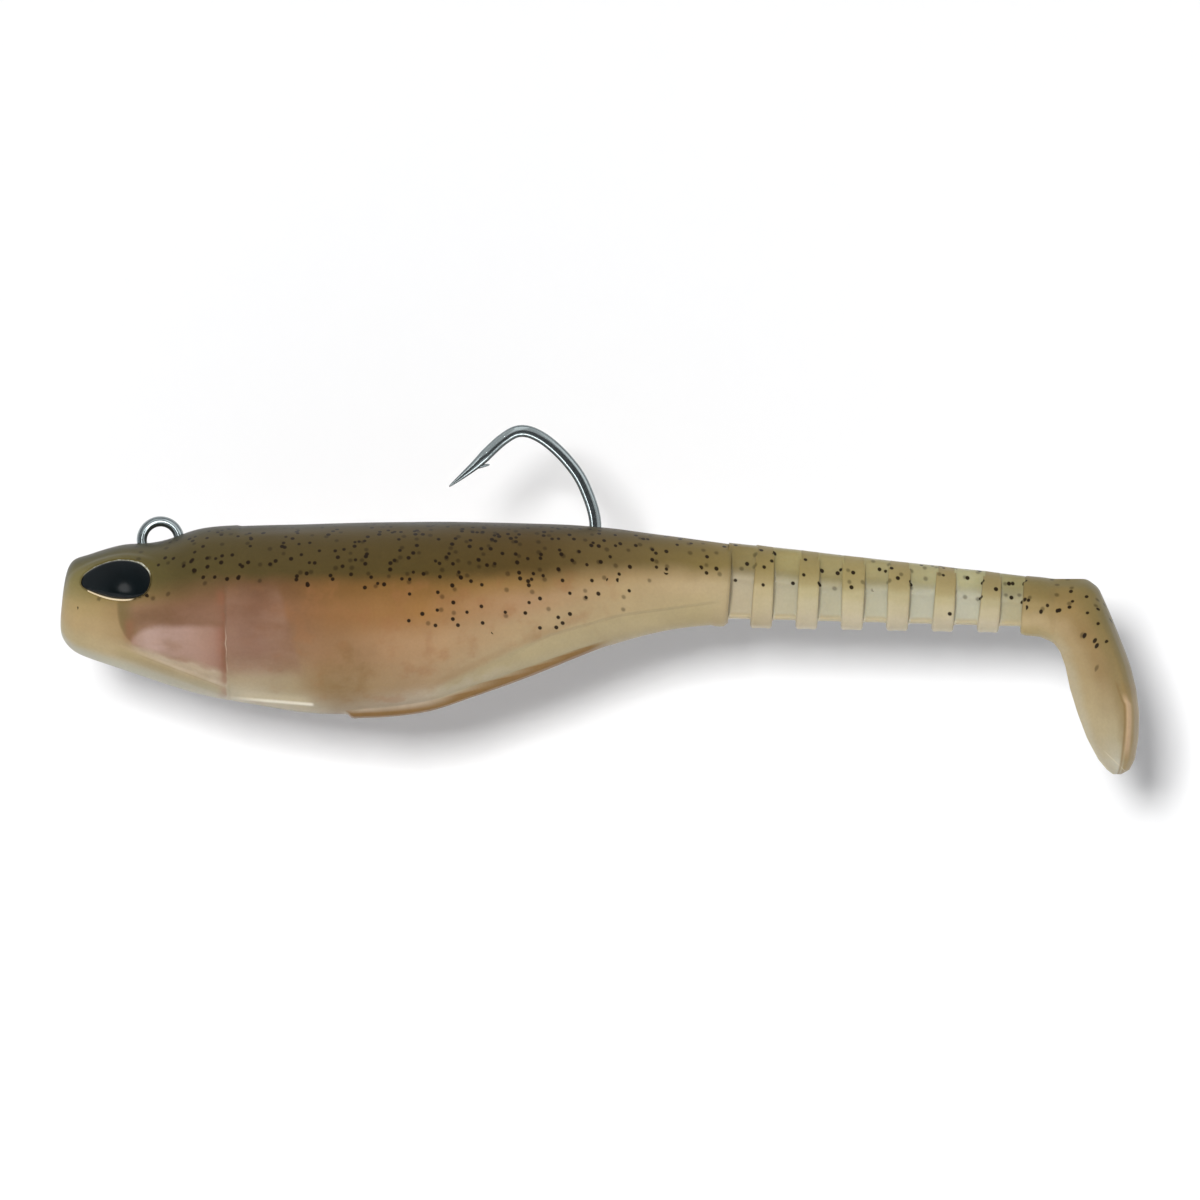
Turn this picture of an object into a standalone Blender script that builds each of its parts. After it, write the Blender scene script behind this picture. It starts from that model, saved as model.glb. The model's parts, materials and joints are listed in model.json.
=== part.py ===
"""Soft-plastic swimbait: a cast body on a lead-weighted jig hook, with a ribbed tail that bends.

The body, the tail's ribs, the boot and the paddle are one flexible casting on the real lure.  Here the
casting is parted in the middle of each groove, where it bends, so every segment can turn on its own.

Frame: origin at the centre of the line-tie ring, +X from the ring towards the tail, +Z up through the
back, Y across the lure.  Lengths in this file are millimetres; meshes are built in metres.
"""
import math

import bmesh
import bpy
from mathutils import Matrix, Vector

MM = 0.001
GAP = 0.3

# Front body: station x, top z, bottom z, half width.  The widest line is the shoulder.
BODY_STATIONS = [
    (-13.0, -10.4, -11.6, 0.9),
    (-12.9, -9.2, -12.3, 2.0),
    (-12.4, -4.7, -13.3, 3.6),
    (-11.5, -2.7, -14.3, 4.8),
    (-10.0, -2.1, -15.1, 5.5),
    (-5.0, -0.6, -16.8, 6.9),
    (0.0, -0.1, -18.5, 7.7),
    (5.0, 1.5, -20.0, 8.3),
    (10.0, 1.95, -21.0, 8.8),
    (20.0, 2.2, -22.7, 9.5),
    (26.0, 2.3, -23.4, 9.6),
    (31.5, 2.35, -23.1, 9.5),
    (37.0, 2.4, -22.1, 9.1),
    (47.0, 2.2, -18.7, 7.8),
    (57.0, 1.8, -14.7, 6.3),
    (63.0, 0.95, -12.6, 5.4),
    (69.0, 0.2, -11.5, 4.8),
    (73.85, -0.55, -11.2, 4.4),
]
BODY_STEPS = 42
BODY_CROWDING = 1.7
SECTION_POINTS = 32
SHOULDER_DROP = 0.42
BACK_POWER = 2.3
BELLY_POWER = 2.1

# Ribbed tail: six ribs, seven grooves, and the I-shaped core that runs through them.
RIB_COUNT = 6
RIB_PITCH = 5.9
GROOVE_LENGTH = 3.0
FIRST_GROOVE_X = 75.35
LAST_GROOVE_X = FIRST_GROOVE_X + RIB_COUNT * RIB_PITCH
CORE_TOP = (-0.75, -4.8)
CORE_BOTTOM = (-10.2, -11.15)
RIB_DROP = (1.25, 0.95)
RIB_HALF_WIDTH = (4.1, 3.3)
FLANGE_HALF_WIDTH = (2.5, 1.8)
FLANGE_SHARE = 0.36
WEB_HALF_WIDTH = 0.9
BEAD_HALF_WIDTH = 1.2
BEAD_HEIGHT = 0.9
KNUCKLE_HALF_WIDTH = 0.9
KNUCKLE_LENGTH = 0.45
RIB_EDGE = 0.35
RIB_RISE = 0.2

# Boot and wedge paddle.  The boot ends at a flat face across the tail, on which the paddle twists.
TWIST_FACE_X = 116.05
TWIST_AXIS_Z = -8.6
BOOT_STATIONS = [
    (112.25, -4.95, -12.1, 3.0),
    (112.7, -4.65, -12.4, 3.4),
    (114.5, -4.8, -12.6, 3.5),
    (TWIST_FACE_X - GAP / 2, -5.0, -13.2, 3.5),
]
# Paddle slices from the top down: z, front x, rear x, half width at the front, half width at the rim.
PADDLE_SLICES = [
    (-5.05, TWIST_FACE_X + GAP / 2, 120.6, 1.2, 1.5),
    (-6.2, TWIST_FACE_X + GAP / 2, 122.1, 2.6, 3.0),
    (-9.1, TWIST_FACE_X + GAP / 2, 123.4, 3.4, 3.8),
    (-12.0, TWIST_FACE_X + GAP / 2, 124.6, 2.6, 4.3),
    (-13.3, TWIST_FACE_X + GAP / 2, 125.1, 1.8, 4.6),
    (-14.5, 117.1, 125.6, 1.3, 5.0),
    (-16.5, 117.8, 126.3, 1.0, 5.5),
    (-19.4, 118.4, 127.0, 0.9, 6.1),
    (-22.6, 119.4, 127.4, 0.9, 6.4),
    (-25.8, 120.6, 127.3, 0.9, 6.1),
    (-28.6, 122.1, 126.8, 0.8, 4.3),
    (-29.9, 123.2, 126.1, 0.6, 2.4),
    (-30.5, 124.0, 125.0, 0.3, 0.6),
]
RIM_DEPTH = 1.8

# Jig hook.  The eye is a loop round the origin; the route then follows the buried shank and the bend.
WIRE_RADIUS = 0.74
EYE_WIRE_RADIUS = 0.62
EYE_RADIUS = 2.43
EYE_FROM_DEG = 235
EYE_TO_DEG = -60
EYE_STEPS = 26
HOOK_ROUTE = [
    (1.21, -2.1),
    (0.35, -3.2),
    (0.1, -5.0),
    (1.2, -7.4),
    (4.5, -8.9),
    (14.0, -9.2),
    (30.0, -9.4),
    (44.0, -9.2),
    (51.0, -7.4),
    (55.2, -3.2),
    (56.6, 1.8),
    (55.2, 6.9),
    (52.9, 10.4),
    (49.8, 13.2),
    (47.0, 14.2),
    (44.5, 13.05),
    (40.9, 9.7),
    (37.55, 6.95),
]
HOOK_STEPS = 4
POINT_TAPER = 7.0
BARB_ROOT = (41.2, 9.45)
BARB_TIP = (43.0, 9.85)
BARB_RADIUS = 0.42

# Lead ballast: station x, top z, bottom z, half width.
BALLAST_STATIONS = [
    (-5.4, -8.0, -9.2, 0.9),
    (-4.9, -6.6, -11.2, 2.4),
    (-3.0, -5.9, -13.9, 3.8),
    (2.0, -5.6, -16.0, 4.8),
    (8.0, -5.8, -17.8, 5.2),
    (13.0, -6.4, -17.6, 4.8),
    (16.0, -7.2, -15.8, 3.4),
    (17.2, -8.4, -12.6, 1.5),
]
BALLAST_POINTS = 16

# Eyes: an almond, pointed at the front, that lies on the side of the head.
EYE_CENTRE = (-5.9, 6.15, -5.1)
EYE_YAW_DEG = 12
EYE_TILT_DEG = 17
EYE_LENGTH = 9.3
EYE_HEIGHT = 5.2
EYE_POINTS = 24
EYE_POINTEDNESS = 0.6
DOME_PROFILE = [(0.0, 1.0), (0.35, 0.96), (0.75, 0.8), (1.05, 0.5), (1.15, 0.2)]
DOME_BASE = -0.2
FOIL_SCALE = 1.1
FOIL_THICKNESS = 0.35

# Slit in the belly, and the slot that the ring eye sinks into: outlines as (x, z).
BELLY_SLOT_HALF_WIDTH = 1.1
BELLY_SLOT = [(25.0, -26.0), (26.0, -17.0), (32.0, -13.0), (46.0, -12.0), (58.0, -12.2), (62.5, -14.5), (62.5, -26.0)]


def clear_scene():
    """Remove every object of the start-up scene."""
    for obj in list(bpy.data.objects):
        bpy.data.objects.remove(obj, do_unlink=True)


def new_collection(name):
    """Add a collection to the scene."""
    collection = bpy.data.collections.new(name)
    bpy.context.scene.collection.children.link(collection)
    return collection


def new_material(name, colour, roughness, metallic=0.0):
    """Make a Principled material."""
    material = bpy.data.materials.new(name)
    material.use_nodes = True
    shader = material.node_tree.nodes["Principled BSDF"]
    shader.inputs["Base Color"].default_value = (*colour, 1.0)
    shader.inputs["Roughness"].default_value = roughness
    shader.inputs["Metallic"].default_value = metallic
    return material


def finish_object(name, bm, collection, material=None, origin=(0.0, 0.0, 0.0)):
    """Turn a bmesh in millimetres into a named object whose origin is at a point of the frame."""
    bmesh.ops.recalc_face_normals(bm, faces=bm.faces)
    bmesh.ops.transform(bm, matrix=Matrix.Scale(MM, 4) @ Matrix.Translation(-Vector(origin)), verts=bm.verts)
    mesh = bpy.data.meshes.new(name)
    bm.to_mesh(mesh)
    bm.free()
    obj = bpy.data.objects.new(name, mesh)
    obj.location = Vector(origin) * MM
    collection.objects.link(obj)
    if material:
        mesh.materials.append(material)
    mesh.shade_smooth()
    mesh.set_sharp_from_angle(angle=math.radians(35))
    return obj


def finish_cutter(name, bm, collection):
    """Make an object that only shapes others."""
    cutter = finish_object(name, bm, collection)
    cutter.hide_render = True
    cutter.display_type = "WIRE"
    return cutter


def add_boolean(obj, other, operation):
    """Cut or join an object with another."""
    modifier = obj.modifiers.new(operation.title() + "_" + other.name, "BOOLEAN")
    modifier.operation = operation
    modifier.object = other
    modifier.solver = "EXACT"


def smooth_row(rows, x):
    """Read a table of stations at x with a smooth curve through its rows."""
    index = 0
    while index < len(rows) - 2 and rows[index + 1][0] <= x:
        index += 1
    low, high = rows[index], rows[index + 1]
    before = rows[max(index - 1, 0)]
    after = rows[min(index + 2, len(rows) - 1)]
    span = high[0] - low[0]
    t = (x - low[0]) / span
    values = []
    for column in range(1, len(low)):
        slope_low = (high[column] - before[column]) / (high[0] - before[0]) * span
        slope_high = (after[column] - low[column]) / (after[0] - low[0]) * span
        values.append(
            (2 * t**3 - 3 * t**2 + 1) * low[column]
            + (t**3 - 2 * t**2 + t) * slope_low
            + (3 * t**2 - 2 * t**3) * high[column]
            + (t**3 - t**2) * slope_high
        )
    return values


def smooth_path(points, steps):
    """Return points along a Catmull-Rom curve through a list of 2-D points."""
    path = []
    for index in range(len(points) - 1):
        before = Vector(points[max(index - 1, 0)])
        start = Vector(points[index])
        end = Vector(points[index + 1])
        after = Vector(points[min(index + 2, len(points) - 1)])
        for step in range(steps):
            t = step / steps
            path.append(
                0.5 * (2 * start + (end - before) * t
                       + (2 * before - 5 * start + 4 * end - after) * t**2
                       + (3 * start - before - 3 * end + after) * t**3)
            )
    path.append(Vector(points[-1]))
    return path


def blend(pair, share):
    """Go from the first value of a pair to the second."""
    return pair[0] + (pair[1] - pair[0]) * share


def tail_share(x):
    """How far x lies along the ribbed tail, from 0 at the first groove to 1 at the last."""
    return (x - FIRST_GROOVE_X) / (LAST_GROOVE_X - FIRST_GROOVE_X)


def oval_section(x, top, bottom, half_width, count, grow=0.0):
    """A closed ring across the lure: full at the shoulder, drawn in at the back and the belly."""
    shoulder = top - SHOULDER_DROP * (top - bottom)
    ring = []
    for index in range(count):
        angle = 2 * math.pi * index / count
        side, rise = math.cos(angle), math.sin(angle)
        power = BACK_POWER if rise > 0 else BELLY_POWER
        reach = (top - shoulder if rise > 0 else shoulder - bottom) + grow
        y = (half_width + grow) * math.copysign(abs(side) ** (2 / power), side)
        z = shoulder + reach * math.copysign(abs(rise) ** (2 / power), rise)
        ring.append(Vector((x, y, z)))
    return ring


def loft(rings):
    """Skin a list of equal rings and close both ends."""
    bm = bmesh.new()
    loops = [[bm.verts.new(point) for point in ring] for ring in rings]
    count = len(rings[0])
    for near, far in zip(loops, loops[1:]):
        for index in range(count):
            after = (index + 1) % count
            bm.faces.new((near[index], near[after], far[after], far[index]))
    bm.faces.new(loops[0])
    bm.faces.new(loops[-1])
    return bm


def slab(outline, half_width):
    """A flat outline in the XZ plane with thickness along Y."""
    return loft([[Vector((x, y, z)) for x, z in outline] for y in (-half_width, half_width)])


def hook_path():
    """Centre line of the hook as (x, z), from the end of the eye to the point."""
    eye = []
    for step in range(EYE_STEPS):
        angle = math.radians(EYE_FROM_DEG + (EYE_TO_DEG - EYE_FROM_DEG) * step / EYE_STEPS)
        eye.append(Vector((EYE_RADIUS * math.cos(angle), EYE_RADIUS * math.sin(angle))))
    return eye + smooth_path(HOOK_ROUTE, HOOK_STEPS)


def wire_object(name, path, radii, collection):
    """A round wire along a path in the XZ plane, as a closed mesh."""
    curve = bpy.data.curves.new(name, "CURVE")
    curve.dimensions = "3D"
    curve.bevel_depth = MM
    curve.bevel_resolution = 2
    curve.use_fill_caps = True
    spline = curve.splines.new("POLY")
    spline.points.add(len(path) - 1)
    for point, place, radius in zip(spline.points, path, radii):
        point.co = (place.x * MM, 0.0, place.y * MM, 1.0)
        point.radius = radius
    guide = bpy.data.objects.new(name + "_guide", curve)
    collection.objects.link(guide)
    evaluated = guide.evaluated_get(bpy.context.evaluated_depsgraph_get())
    mesh = bpy.data.meshes.new_from_object(evaluated)
    bm = bmesh.new()
    bm.from_mesh(mesh)
    bmesh.ops.remove_doubles(bm, verts=bm.verts, dist=MM * 0.001)
    bmesh.ops.recalc_face_normals(bm, faces=bm.faces)
    bm.to_mesh(mesh)
    bm.free()
    obj = bpy.data.objects.new(name, mesh)
    obj.matrix_world = guide.matrix_world
    collection.objects.link(obj)
    bpy.data.objects.remove(guide, do_unlink=True)
    mesh.shade_smooth()
    mesh.set_sharp_from_angle(angle=math.radians(50))
    return obj


def build_hook(collection, cutters, material):
    """The hook: one wire that tapers to its point, with a barb joined on."""
    path = hook_path()
    left = 0.0
    radii = []
    for index in reversed(range(len(path))):
        if index < len(path) - 1:
            left += (path[index + 1] - path[index]).length
        taper = min(1.0, (left / POINT_TAPER) ** 0.7 + 0.06)
        radius = EYE_WIRE_RADIUS if index < EYE_STEPS else WIRE_RADIUS
        radii.append(radius * taper)
    radii.reverse()
    hook = wire_object("jig_hook", path, radii, collection)
    hook.data.materials.append(material)

    root = Vector((BARB_ROOT[0], 0.0, BARB_ROOT[1]))
    tip = Vector((BARB_TIP[0], 0.0, BARB_TIP[1]))
    barb = bmesh.new()
    bmesh.ops.create_cone(barb, cap_ends=True, segments=8, radius1=BARB_RADIUS, radius2=0.05,
                          depth=(tip - root).length)
    turn = (tip - root).to_track_quat("Z", "Y").to_matrix().to_4x4()
    bmesh.ops.transform(barb, matrix=Matrix.Translation((root + tip) / 2) @ turn, verts=barb.verts)
    add_boolean(hook, finish_cutter("barb", barb, cutters), "UNION")
    return hook


def hook_channel(collection):
    """The space that the wire needs inside the plastic and the lead."""
    start = EYE_STEPS - 2
    path = [place for place in hook_path()[start:] if place.x < 60]
    apex = max(range(len(path)), key=lambda index: path[index].y)
    path = path[: apex - 2]
    channel = wire_object("hook_channel", path, [WIRE_RADIUS + GAP] * len(path), collection)
    channel.hide_render = True
    channel.display_type = "WIRE"
    return channel


def ballast_rings(grow):
    """Rings of the ballast, or of the pocket that holds it."""
    rings = []
    last = len(BALLAST_STATIONS) - 1
    for index, (x, top, bottom, half_width) in enumerate(BALLAST_STATIONS):
        shift = -grow if index == 0 else grow if index == last else 0.0
        rings.append(oval_section(x + shift, top, bottom, half_width, BALLAST_POINTS, grow))
    return rings


def eye_frame(side):
    """Matrix of an eye: X along the almond, Y up it, Z out of the head; side is -1 left, +1 right."""
    place = Matrix.Translation((EYE_CENTRE[0], side * EYE_CENTRE[1], EYE_CENTRE[2]))
    yaw = Matrix.Rotation(math.radians(side * EYE_YAW_DEG), 4, "Z")
    tilt = Matrix.Rotation(math.radians(side * EYE_TILT_DEG), 4, "X")
    outward = Matrix(((1, 0, 0, 0), (0, 0, side, 0), (0, 1, 0, 0), (0, 0, 0, 1)))
    return place @ yaw @ tilt @ outward


def almond_ring(height, scale, grow=0.0):
    """The eye's outline at a height over the head, pointed at its front end."""
    ring = []
    for index in range(EYE_POINTS):
        angle = 2 * math.pi * index / EYE_POINTS
        pinch = abs(math.cos(angle / 2)) ** EYE_POINTEDNESS
        x = (EYE_LENGTH / 2 * scale + grow) * math.cos(angle)
        y = (EYE_HEIGHT / 2 * scale * 1.13 + grow) * math.sin(angle) * pinch
        ring.append(Vector((x, y, height)))
    return ring


def build_eye(side, word, collection, cutters, body, dome_material, foil_material):
    """One eye: foil at the bottom of its socket, and the dome over it."""
    frame = eye_frame(side)
    foil_top = DOME_BASE - GAP
    foil_bottom = foil_top - FOIL_THICKNESS
    stacks = {
        "eye_foil_" + word: [almond_ring(foil_bottom, FOIL_SCALE), almond_ring(foil_top, FOIL_SCALE)],
        "eye_dome_" + word: [almond_ring(DOME_BASE + rise, scale) for rise, scale in DOME_PROFILE],
    }
    for name, rings in stacks.items():
        bm = loft(rings)
        bmesh.ops.transform(bm, matrix=frame, verts=bm.verts)
        material = foil_material if "foil" in name else dome_material
        finish_object(name, bm, collection, material)
    socket = loft([almond_ring(foil_bottom - GAP, FOIL_SCALE, GAP), almond_ring(4.0, FOIL_SCALE, GAP)])
    bmesh.ops.transform(socket, matrix=frame, verts=socket.verts)
    add_boolean(body, finish_cutter("eye_socket_" + word, socket, cutters), "DIFFERENCE")


def core_ring(x, half_limit=None):
    """The tail's core at x: a thick flange on top, a thin web and a bead along the bottom."""
    share = tail_share(x)
    top = blend(CORE_TOP, share)
    bottom = blend(CORE_BOTTOM, share)
    flange = blend(FLANGE_HALF_WIDTH, share)
    under = top - FLANGE_SHARE * (top - bottom)
    half = [
        (0.0, top),
        (flange * 0.7, top - 0.15),
        (flange, top - 0.8),
        (flange, under + 0.6),
        (WEB_HALF_WIDTH, under - 0.3),
        (WEB_HALF_WIDTH, bottom + BEAD_HEIGHT + 0.3),
        (BEAD_HALF_WIDTH, bottom + BEAD_HEIGHT * 0.6),
        (BEAD_HALF_WIDTH * 0.7, bottom),
        (0.0, bottom),
    ]
    if half_limit:
        half = [(min(y, half_limit), z) for y, z in half]
    right = [Vector((x, y, z)) for y, z in half]
    left = [Vector((x, -y, z)) for y, z in reversed(half[1:-1])]
    return right + left


def core_piece(start, end, knuckle_start, knuckle_end):
    """A length of the core; an end that meets a groove's middle is chamfered so that it can turn."""
    rings = []
    if knuckle_start:
        rings.append(core_ring(start + GAP / 2, KNUCKLE_HALF_WIDTH))
        rings.append(core_ring(start + GAP / 2 + KNUCKLE_LENGTH))
    else:
        rings.append(core_ring(start))
    if knuckle_end:
        rings.append(core_ring(end - GAP / 2 - KNUCKLE_LENGTH))
        rings.append(core_ring(end - GAP / 2, KNUCKLE_HALF_WIDTH))
    else:
        rings.append(core_ring(end))
    return loft(rings)


def rib_piece(start, end):
    """One rib: an oval plate with eased edges."""
    share = tail_share((start + end) / 2)
    rings = []
    for x, inset in ((start, RIB_EDGE), (start + RIB_EDGE, 0), (end - RIB_EDGE, 0), (end, RIB_EDGE)):
        top = blend(CORE_TOP, tail_share(x)) + RIB_RISE * share - inset * 0.5
        bottom = blend(CORE_BOTTOM, share) - blend(RIB_DROP, share) + inset
        rings.append(oval_section(x, top, bottom, blend(RIB_HALF_WIDTH, share) - inset, 20))
    return loft(rings)


def build_body(collection, cutters, material):
    """The front body: head, trunk and the first half groove, without its sockets and pockets."""
    first, last = BODY_STATIONS[0][0], BODY_STATIONS[-1][0]
    rings = []
    for step in range(BODY_STEPS + 1):
        share = step / BODY_STEPS
        x = first + (last - first) * share**BODY_CROWDING
        top, bottom, half_width = smooth_row(BODY_STATIONS, x)
        rings.append(oval_section(x, top, bottom, half_width, SECTION_POINTS))
    body = finish_object("body_moulding", loft(rings), collection, material)
    stub = core_piece(last - 1.0, FIRST_GROOVE_X, False, True)
    add_boolean(body, finish_cutter("body_stub", stub, cutters), "UNION")
    return body


def build_tail(collection, cutters, material):
    """Six ribs, each with the core on both sides of it as far as the middle of the grooves."""
    for index in range(RIB_COUNT):
        groove_x = FIRST_GROOVE_X + index * RIB_PITCH
        start = groove_x + GROOVE_LENGTH / 2
        end = groove_x + RIB_PITCH - GROOVE_LENGTH / 2
        name = "tail_rib_" + str(index + 1)
        axis = (groove_x, 0.0, 0.0)
        core = core_piece(groove_x, groove_x + RIB_PITCH, True, True)
        segment = finish_object(name, rib_piece(start, end), collection, material, axis)
        add_boolean(segment, finish_cutter(name + "_core", core, cutters), "UNION")


def build_boot(collection, cutters, material):
    """The boot: the block behind the last groove, cut square where the paddle twists on it."""
    rings = [oval_section(*station, 20) for station in BOOT_STATIONS]
    boot = finish_object("tail_boot", loft(rings), collection, material, (LAST_GROOVE_X, 0.0, 0.0))
    core = core_piece(LAST_GROOVE_X, BOOT_STATIONS[0][0] + 1.0, True, False)
    add_boolean(boot, finish_cutter("boot_core", core, cutters), "UNION")


def paddle_ring(z, front, rear, front_half, rim_half):
    """One level of the paddle: a wedge that widens to its rim, with a rounded rear face."""
    rim = rear - RIM_DEPTH * min(1.0, (rear - front) / 4)
    half = [
        (front, 0.0),
        (front, front_half * 0.75),
        (front + 0.35, front_half),
        (blend((front, rim), 0.5), blend((front_half, rim_half), 0.45)),
        (rim, rim_half),
        (blend((rim, rear), 0.5), rim_half * 0.86),
        (blend((rim, rear), 0.87), rim_half * 0.5),
        (rear, 0.0),
    ]
    right = [Vector((x, y, z)) for x, y in half]
    left = [Vector((x, -y, z)) for x, y in reversed(half[1:-1])]
    return right + left


def build_paddle(collection, material):
    """The wedge paddle that hangs below and behind the boot."""
    rings = [paddle_ring(*slice_row) for slice_row in PADDLE_SLICES]
    finish_object("paddle", loft(rings), collection, material, (TWIST_FACE_X, 0.0, TWIST_AXIS_Z))


def main():
    clear_scene()
    parts = new_collection("swimbait")
    cutters = new_collection("cutters")
    body_plastic = new_material("body_plastic", (0.24, 0.15, 0.07), 0.35)
    tail_plastic = new_material("tail_plastic", (0.45, 0.38, 0.24), 0.35)
    paddle_plastic = new_material("paddle_plastic", (0.33, 0.25, 0.14), 0.35)
    steel = new_material("hook_steel", (0.25, 0.25, 0.24), 0.2, 1.0)
    lead = new_material("lead", (0.3, 0.3, 0.32), 0.6, 1.0)
    resin = new_material("eye_resin", (0.01, 0.012, 0.012), 0.08)
    foil = new_material("eye_foil", (0.7, 0.68, 0.6), 0.25, 1.0)

    body = build_body(parts, cutters, body_plastic)
    build_hook(parts, cutters, steel)
    channel = hook_channel(cutters)
    ballast = finish_object("lead_ballast", loft(ballast_rings(0.0)), parts, lead)
    add_boolean(ballast, channel, "DIFFERENCE")

    add_boolean(body, finish_cutter("ballast_pocket", loft(ballast_rings(GAP)), cutters), "DIFFERENCE")
    add_boolean(body, channel, "DIFFERENCE")
    eye_slot = bmesh.new()
    bmesh.ops.create_cone(eye_slot, cap_ends=True, segments=28, radius1=EYE_RADIUS + EYE_WIRE_RADIUS + GAP,
                          radius2=EYE_RADIUS + EYE_WIRE_RADIUS + GAP, depth=2 * (EYE_WIRE_RADIUS + GAP))
    bmesh.ops.rotate(eye_slot, matrix=Matrix.Rotation(math.radians(90), 3, "X"), verts=eye_slot.verts)
    add_boolean(body, finish_cutter("ring_slot", eye_slot, cutters), "DIFFERENCE")
    add_boolean(body, finish_cutter("belly_slot", slab(BELLY_SLOT, BELLY_SLOT_HALF_WIDTH), cutters), "DIFFERENCE")
    for side, word in ((-1, "left"), (1, "right")):
        build_eye(side, word, parts, cutters, body, resin, foil)

    build_tail(parts, cutters, tail_plastic)
    build_boot(parts, cutters, tail_plastic)
    build_paddle(parts, paddle_plastic)


main()
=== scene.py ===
"""Looks of the soft-plastic swimbait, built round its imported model.

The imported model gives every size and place: outlines are measured on its nodes, and grooves lie at its
joints.  Shapes are worked out in millimetres and become meshes in metres.
"""
import json
import math

import bpy
import numpy as np
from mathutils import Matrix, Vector
from mathutils.bvhtree import BVHTree


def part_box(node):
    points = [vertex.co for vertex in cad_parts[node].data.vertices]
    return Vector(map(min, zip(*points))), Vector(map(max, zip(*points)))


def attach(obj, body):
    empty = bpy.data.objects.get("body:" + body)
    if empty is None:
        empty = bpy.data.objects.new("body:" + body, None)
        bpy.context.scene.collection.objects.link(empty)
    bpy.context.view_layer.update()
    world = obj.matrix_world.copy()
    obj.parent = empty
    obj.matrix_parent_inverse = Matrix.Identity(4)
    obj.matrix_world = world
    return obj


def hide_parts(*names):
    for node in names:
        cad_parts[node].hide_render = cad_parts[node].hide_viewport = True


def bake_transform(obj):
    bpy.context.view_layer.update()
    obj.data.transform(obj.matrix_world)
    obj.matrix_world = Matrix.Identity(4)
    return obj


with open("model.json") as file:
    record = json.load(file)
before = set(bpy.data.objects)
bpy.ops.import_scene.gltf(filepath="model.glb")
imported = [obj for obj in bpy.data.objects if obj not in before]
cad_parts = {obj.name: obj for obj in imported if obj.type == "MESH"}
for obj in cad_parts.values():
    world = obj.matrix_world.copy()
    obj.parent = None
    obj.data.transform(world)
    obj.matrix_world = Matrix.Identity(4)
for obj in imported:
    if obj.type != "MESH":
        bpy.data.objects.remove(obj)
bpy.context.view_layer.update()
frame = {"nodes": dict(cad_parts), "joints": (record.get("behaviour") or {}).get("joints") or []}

MM = 0.001

# Body section: how far the widest line lies below the back, and how full the back and belly are.
SHOULDER_DROP = 0.42
BACK_POWER = 2.3
BELLY_POWER = 2.1

# Rings along the body, points round each, and how much closer the rings lie towards the nose.
BODY_STATIONS = 270
BODY_AROUND = 208
BODY_CROWDING = 1.7

# Distance of the first ring from the nose, and how much of the body's length the measuring rays leave out.
NOSE_STEP = 0.02
RAY_MARGIN = 0.05

# Rounding and slant of the body's rear end, the slit for the hook, and how far off centre rays miss it.
REAR_ROUNDING = 0.4
REAR_SLANT = 0.4
SLIT_DEPTH = 5.0
SLOT_CLEAR_Y = 1.3

# Grooves of the tail, how far the top of each rib's front face leans back, and the webs between the ribs.
GROOVE_LENGTH = 3.0
RIB_LEANS = (0.7, 0.45, 0.05, 0.15, 0.55, 0.75)
RIB_EDGE = 0.42
RIB_HOLLOW = 0.05
WEB_OVERLAP = 0.25
WEB_STEPS = 24

# Half widths of the core's flange, web and bead: at the first groove, and how much less at the last.
FLANGE_HALF = (2.75, 0.75)
WEB_HALF = (1.25, 0.25)
BEAD_HALF = (1.45, 0.3)


def joint_x(name):
    """Place of a joint along the lure, in millimetres."""
    for joint in frame["joints"]:
        if joint["name"] == name:
            return joint["pos_m"][0] / MM
    raise KeyError(name)


GROOVES = [joint_x("tail_bend_" + str(number)) for number in range(1, 8)]
BODY_REAR = GROOVES[0] - GROOVE_LENGTH / 2


def box_mm(node):
    """Lowest and highest corner of a CAD node, in millimetres."""
    low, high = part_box(node)
    return low / MM, high / MM


def smoothstep(value, low, high):
    """Rise from 0 at low to 1 at high with level ends; low may be above high."""
    share = np.clip((value - low) / (high - low), 0.0, 1.0)
    return share * share * (3.0 - 2.0 * share)


def bell(value, centre, width):
    """A bump of height 1."""
    return np.exp(-(((value - centre) / width) ** 2))


def blur(values, passes):
    """Take the facets out of measured rows, leaving the first and the last where they are."""
    smooth = np.array(values, float)
    for _ in range(passes):
        smooth[1:-1] = (smooth[:-2] + 2.0 * smooth[1:-1] + smooth[2:]) / 4.0
    return smooth


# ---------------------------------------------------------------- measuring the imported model


def surface_of(*nodes):
    """Search tree over CAD nodes, in millimetres."""
    points, faces = [], []
    for node in nodes:
        mesh = frame["nodes"][node].data
        start = len(points)
        points += [vertex.co / MM for vertex in mesh.vertices]
        faces += [[start + index for index in face.vertices] for face in mesh.polygons]
    return BVHTree.FromPolygons(points, faces)


def reach(tree, start, direction):
    """Where a ray from outside meets a surface, or None."""
    return tree.ray_cast(Vector(start), Vector(direction))[0]


def measure_body():
    """Top, bottom and half width of the CAD body along x, smoothed, as a function of x."""
    tree = surface_of("body_moulding")
    nose = box_mm("body_moulding")[0].x
    shares = np.linspace(0.0, 1.0, 110)
    places = nose + NOSE_STEP + (BODY_REAR - nose - RAY_MARGIN) * shares**BODY_CROWDING
    rows = []
    for x in places:
        tops = [reach(tree, (x, y, 40), (0, 0, -1)) for y in (0.0, SLOT_CLEAR_Y)]
        bottoms = [reach(tree, (x, y, -60), (0, 0, 1)) for y in (0.0, SLOT_CLEAR_Y)]
        top = max(point.z for point in tops if point)
        bottom = min(point.z for point in bottoms if point)
        shoulder = top - SHOULDER_DROP * (top - bottom)
        sides = [reach(tree, (x, 40, shoulder - drop), (0, -1, 0)) for drop in (0.0, 0.4, 1.2, 2.0, 2.8)]
        half = max([point.y for point in sides if point] + [0.4])
        rows.append((top, bottom, half))
    columns = blur(rows, 3).T

    def outline(x):
        return [np.interp(x, places, column) for column in columns]

    return outline, nose


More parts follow.
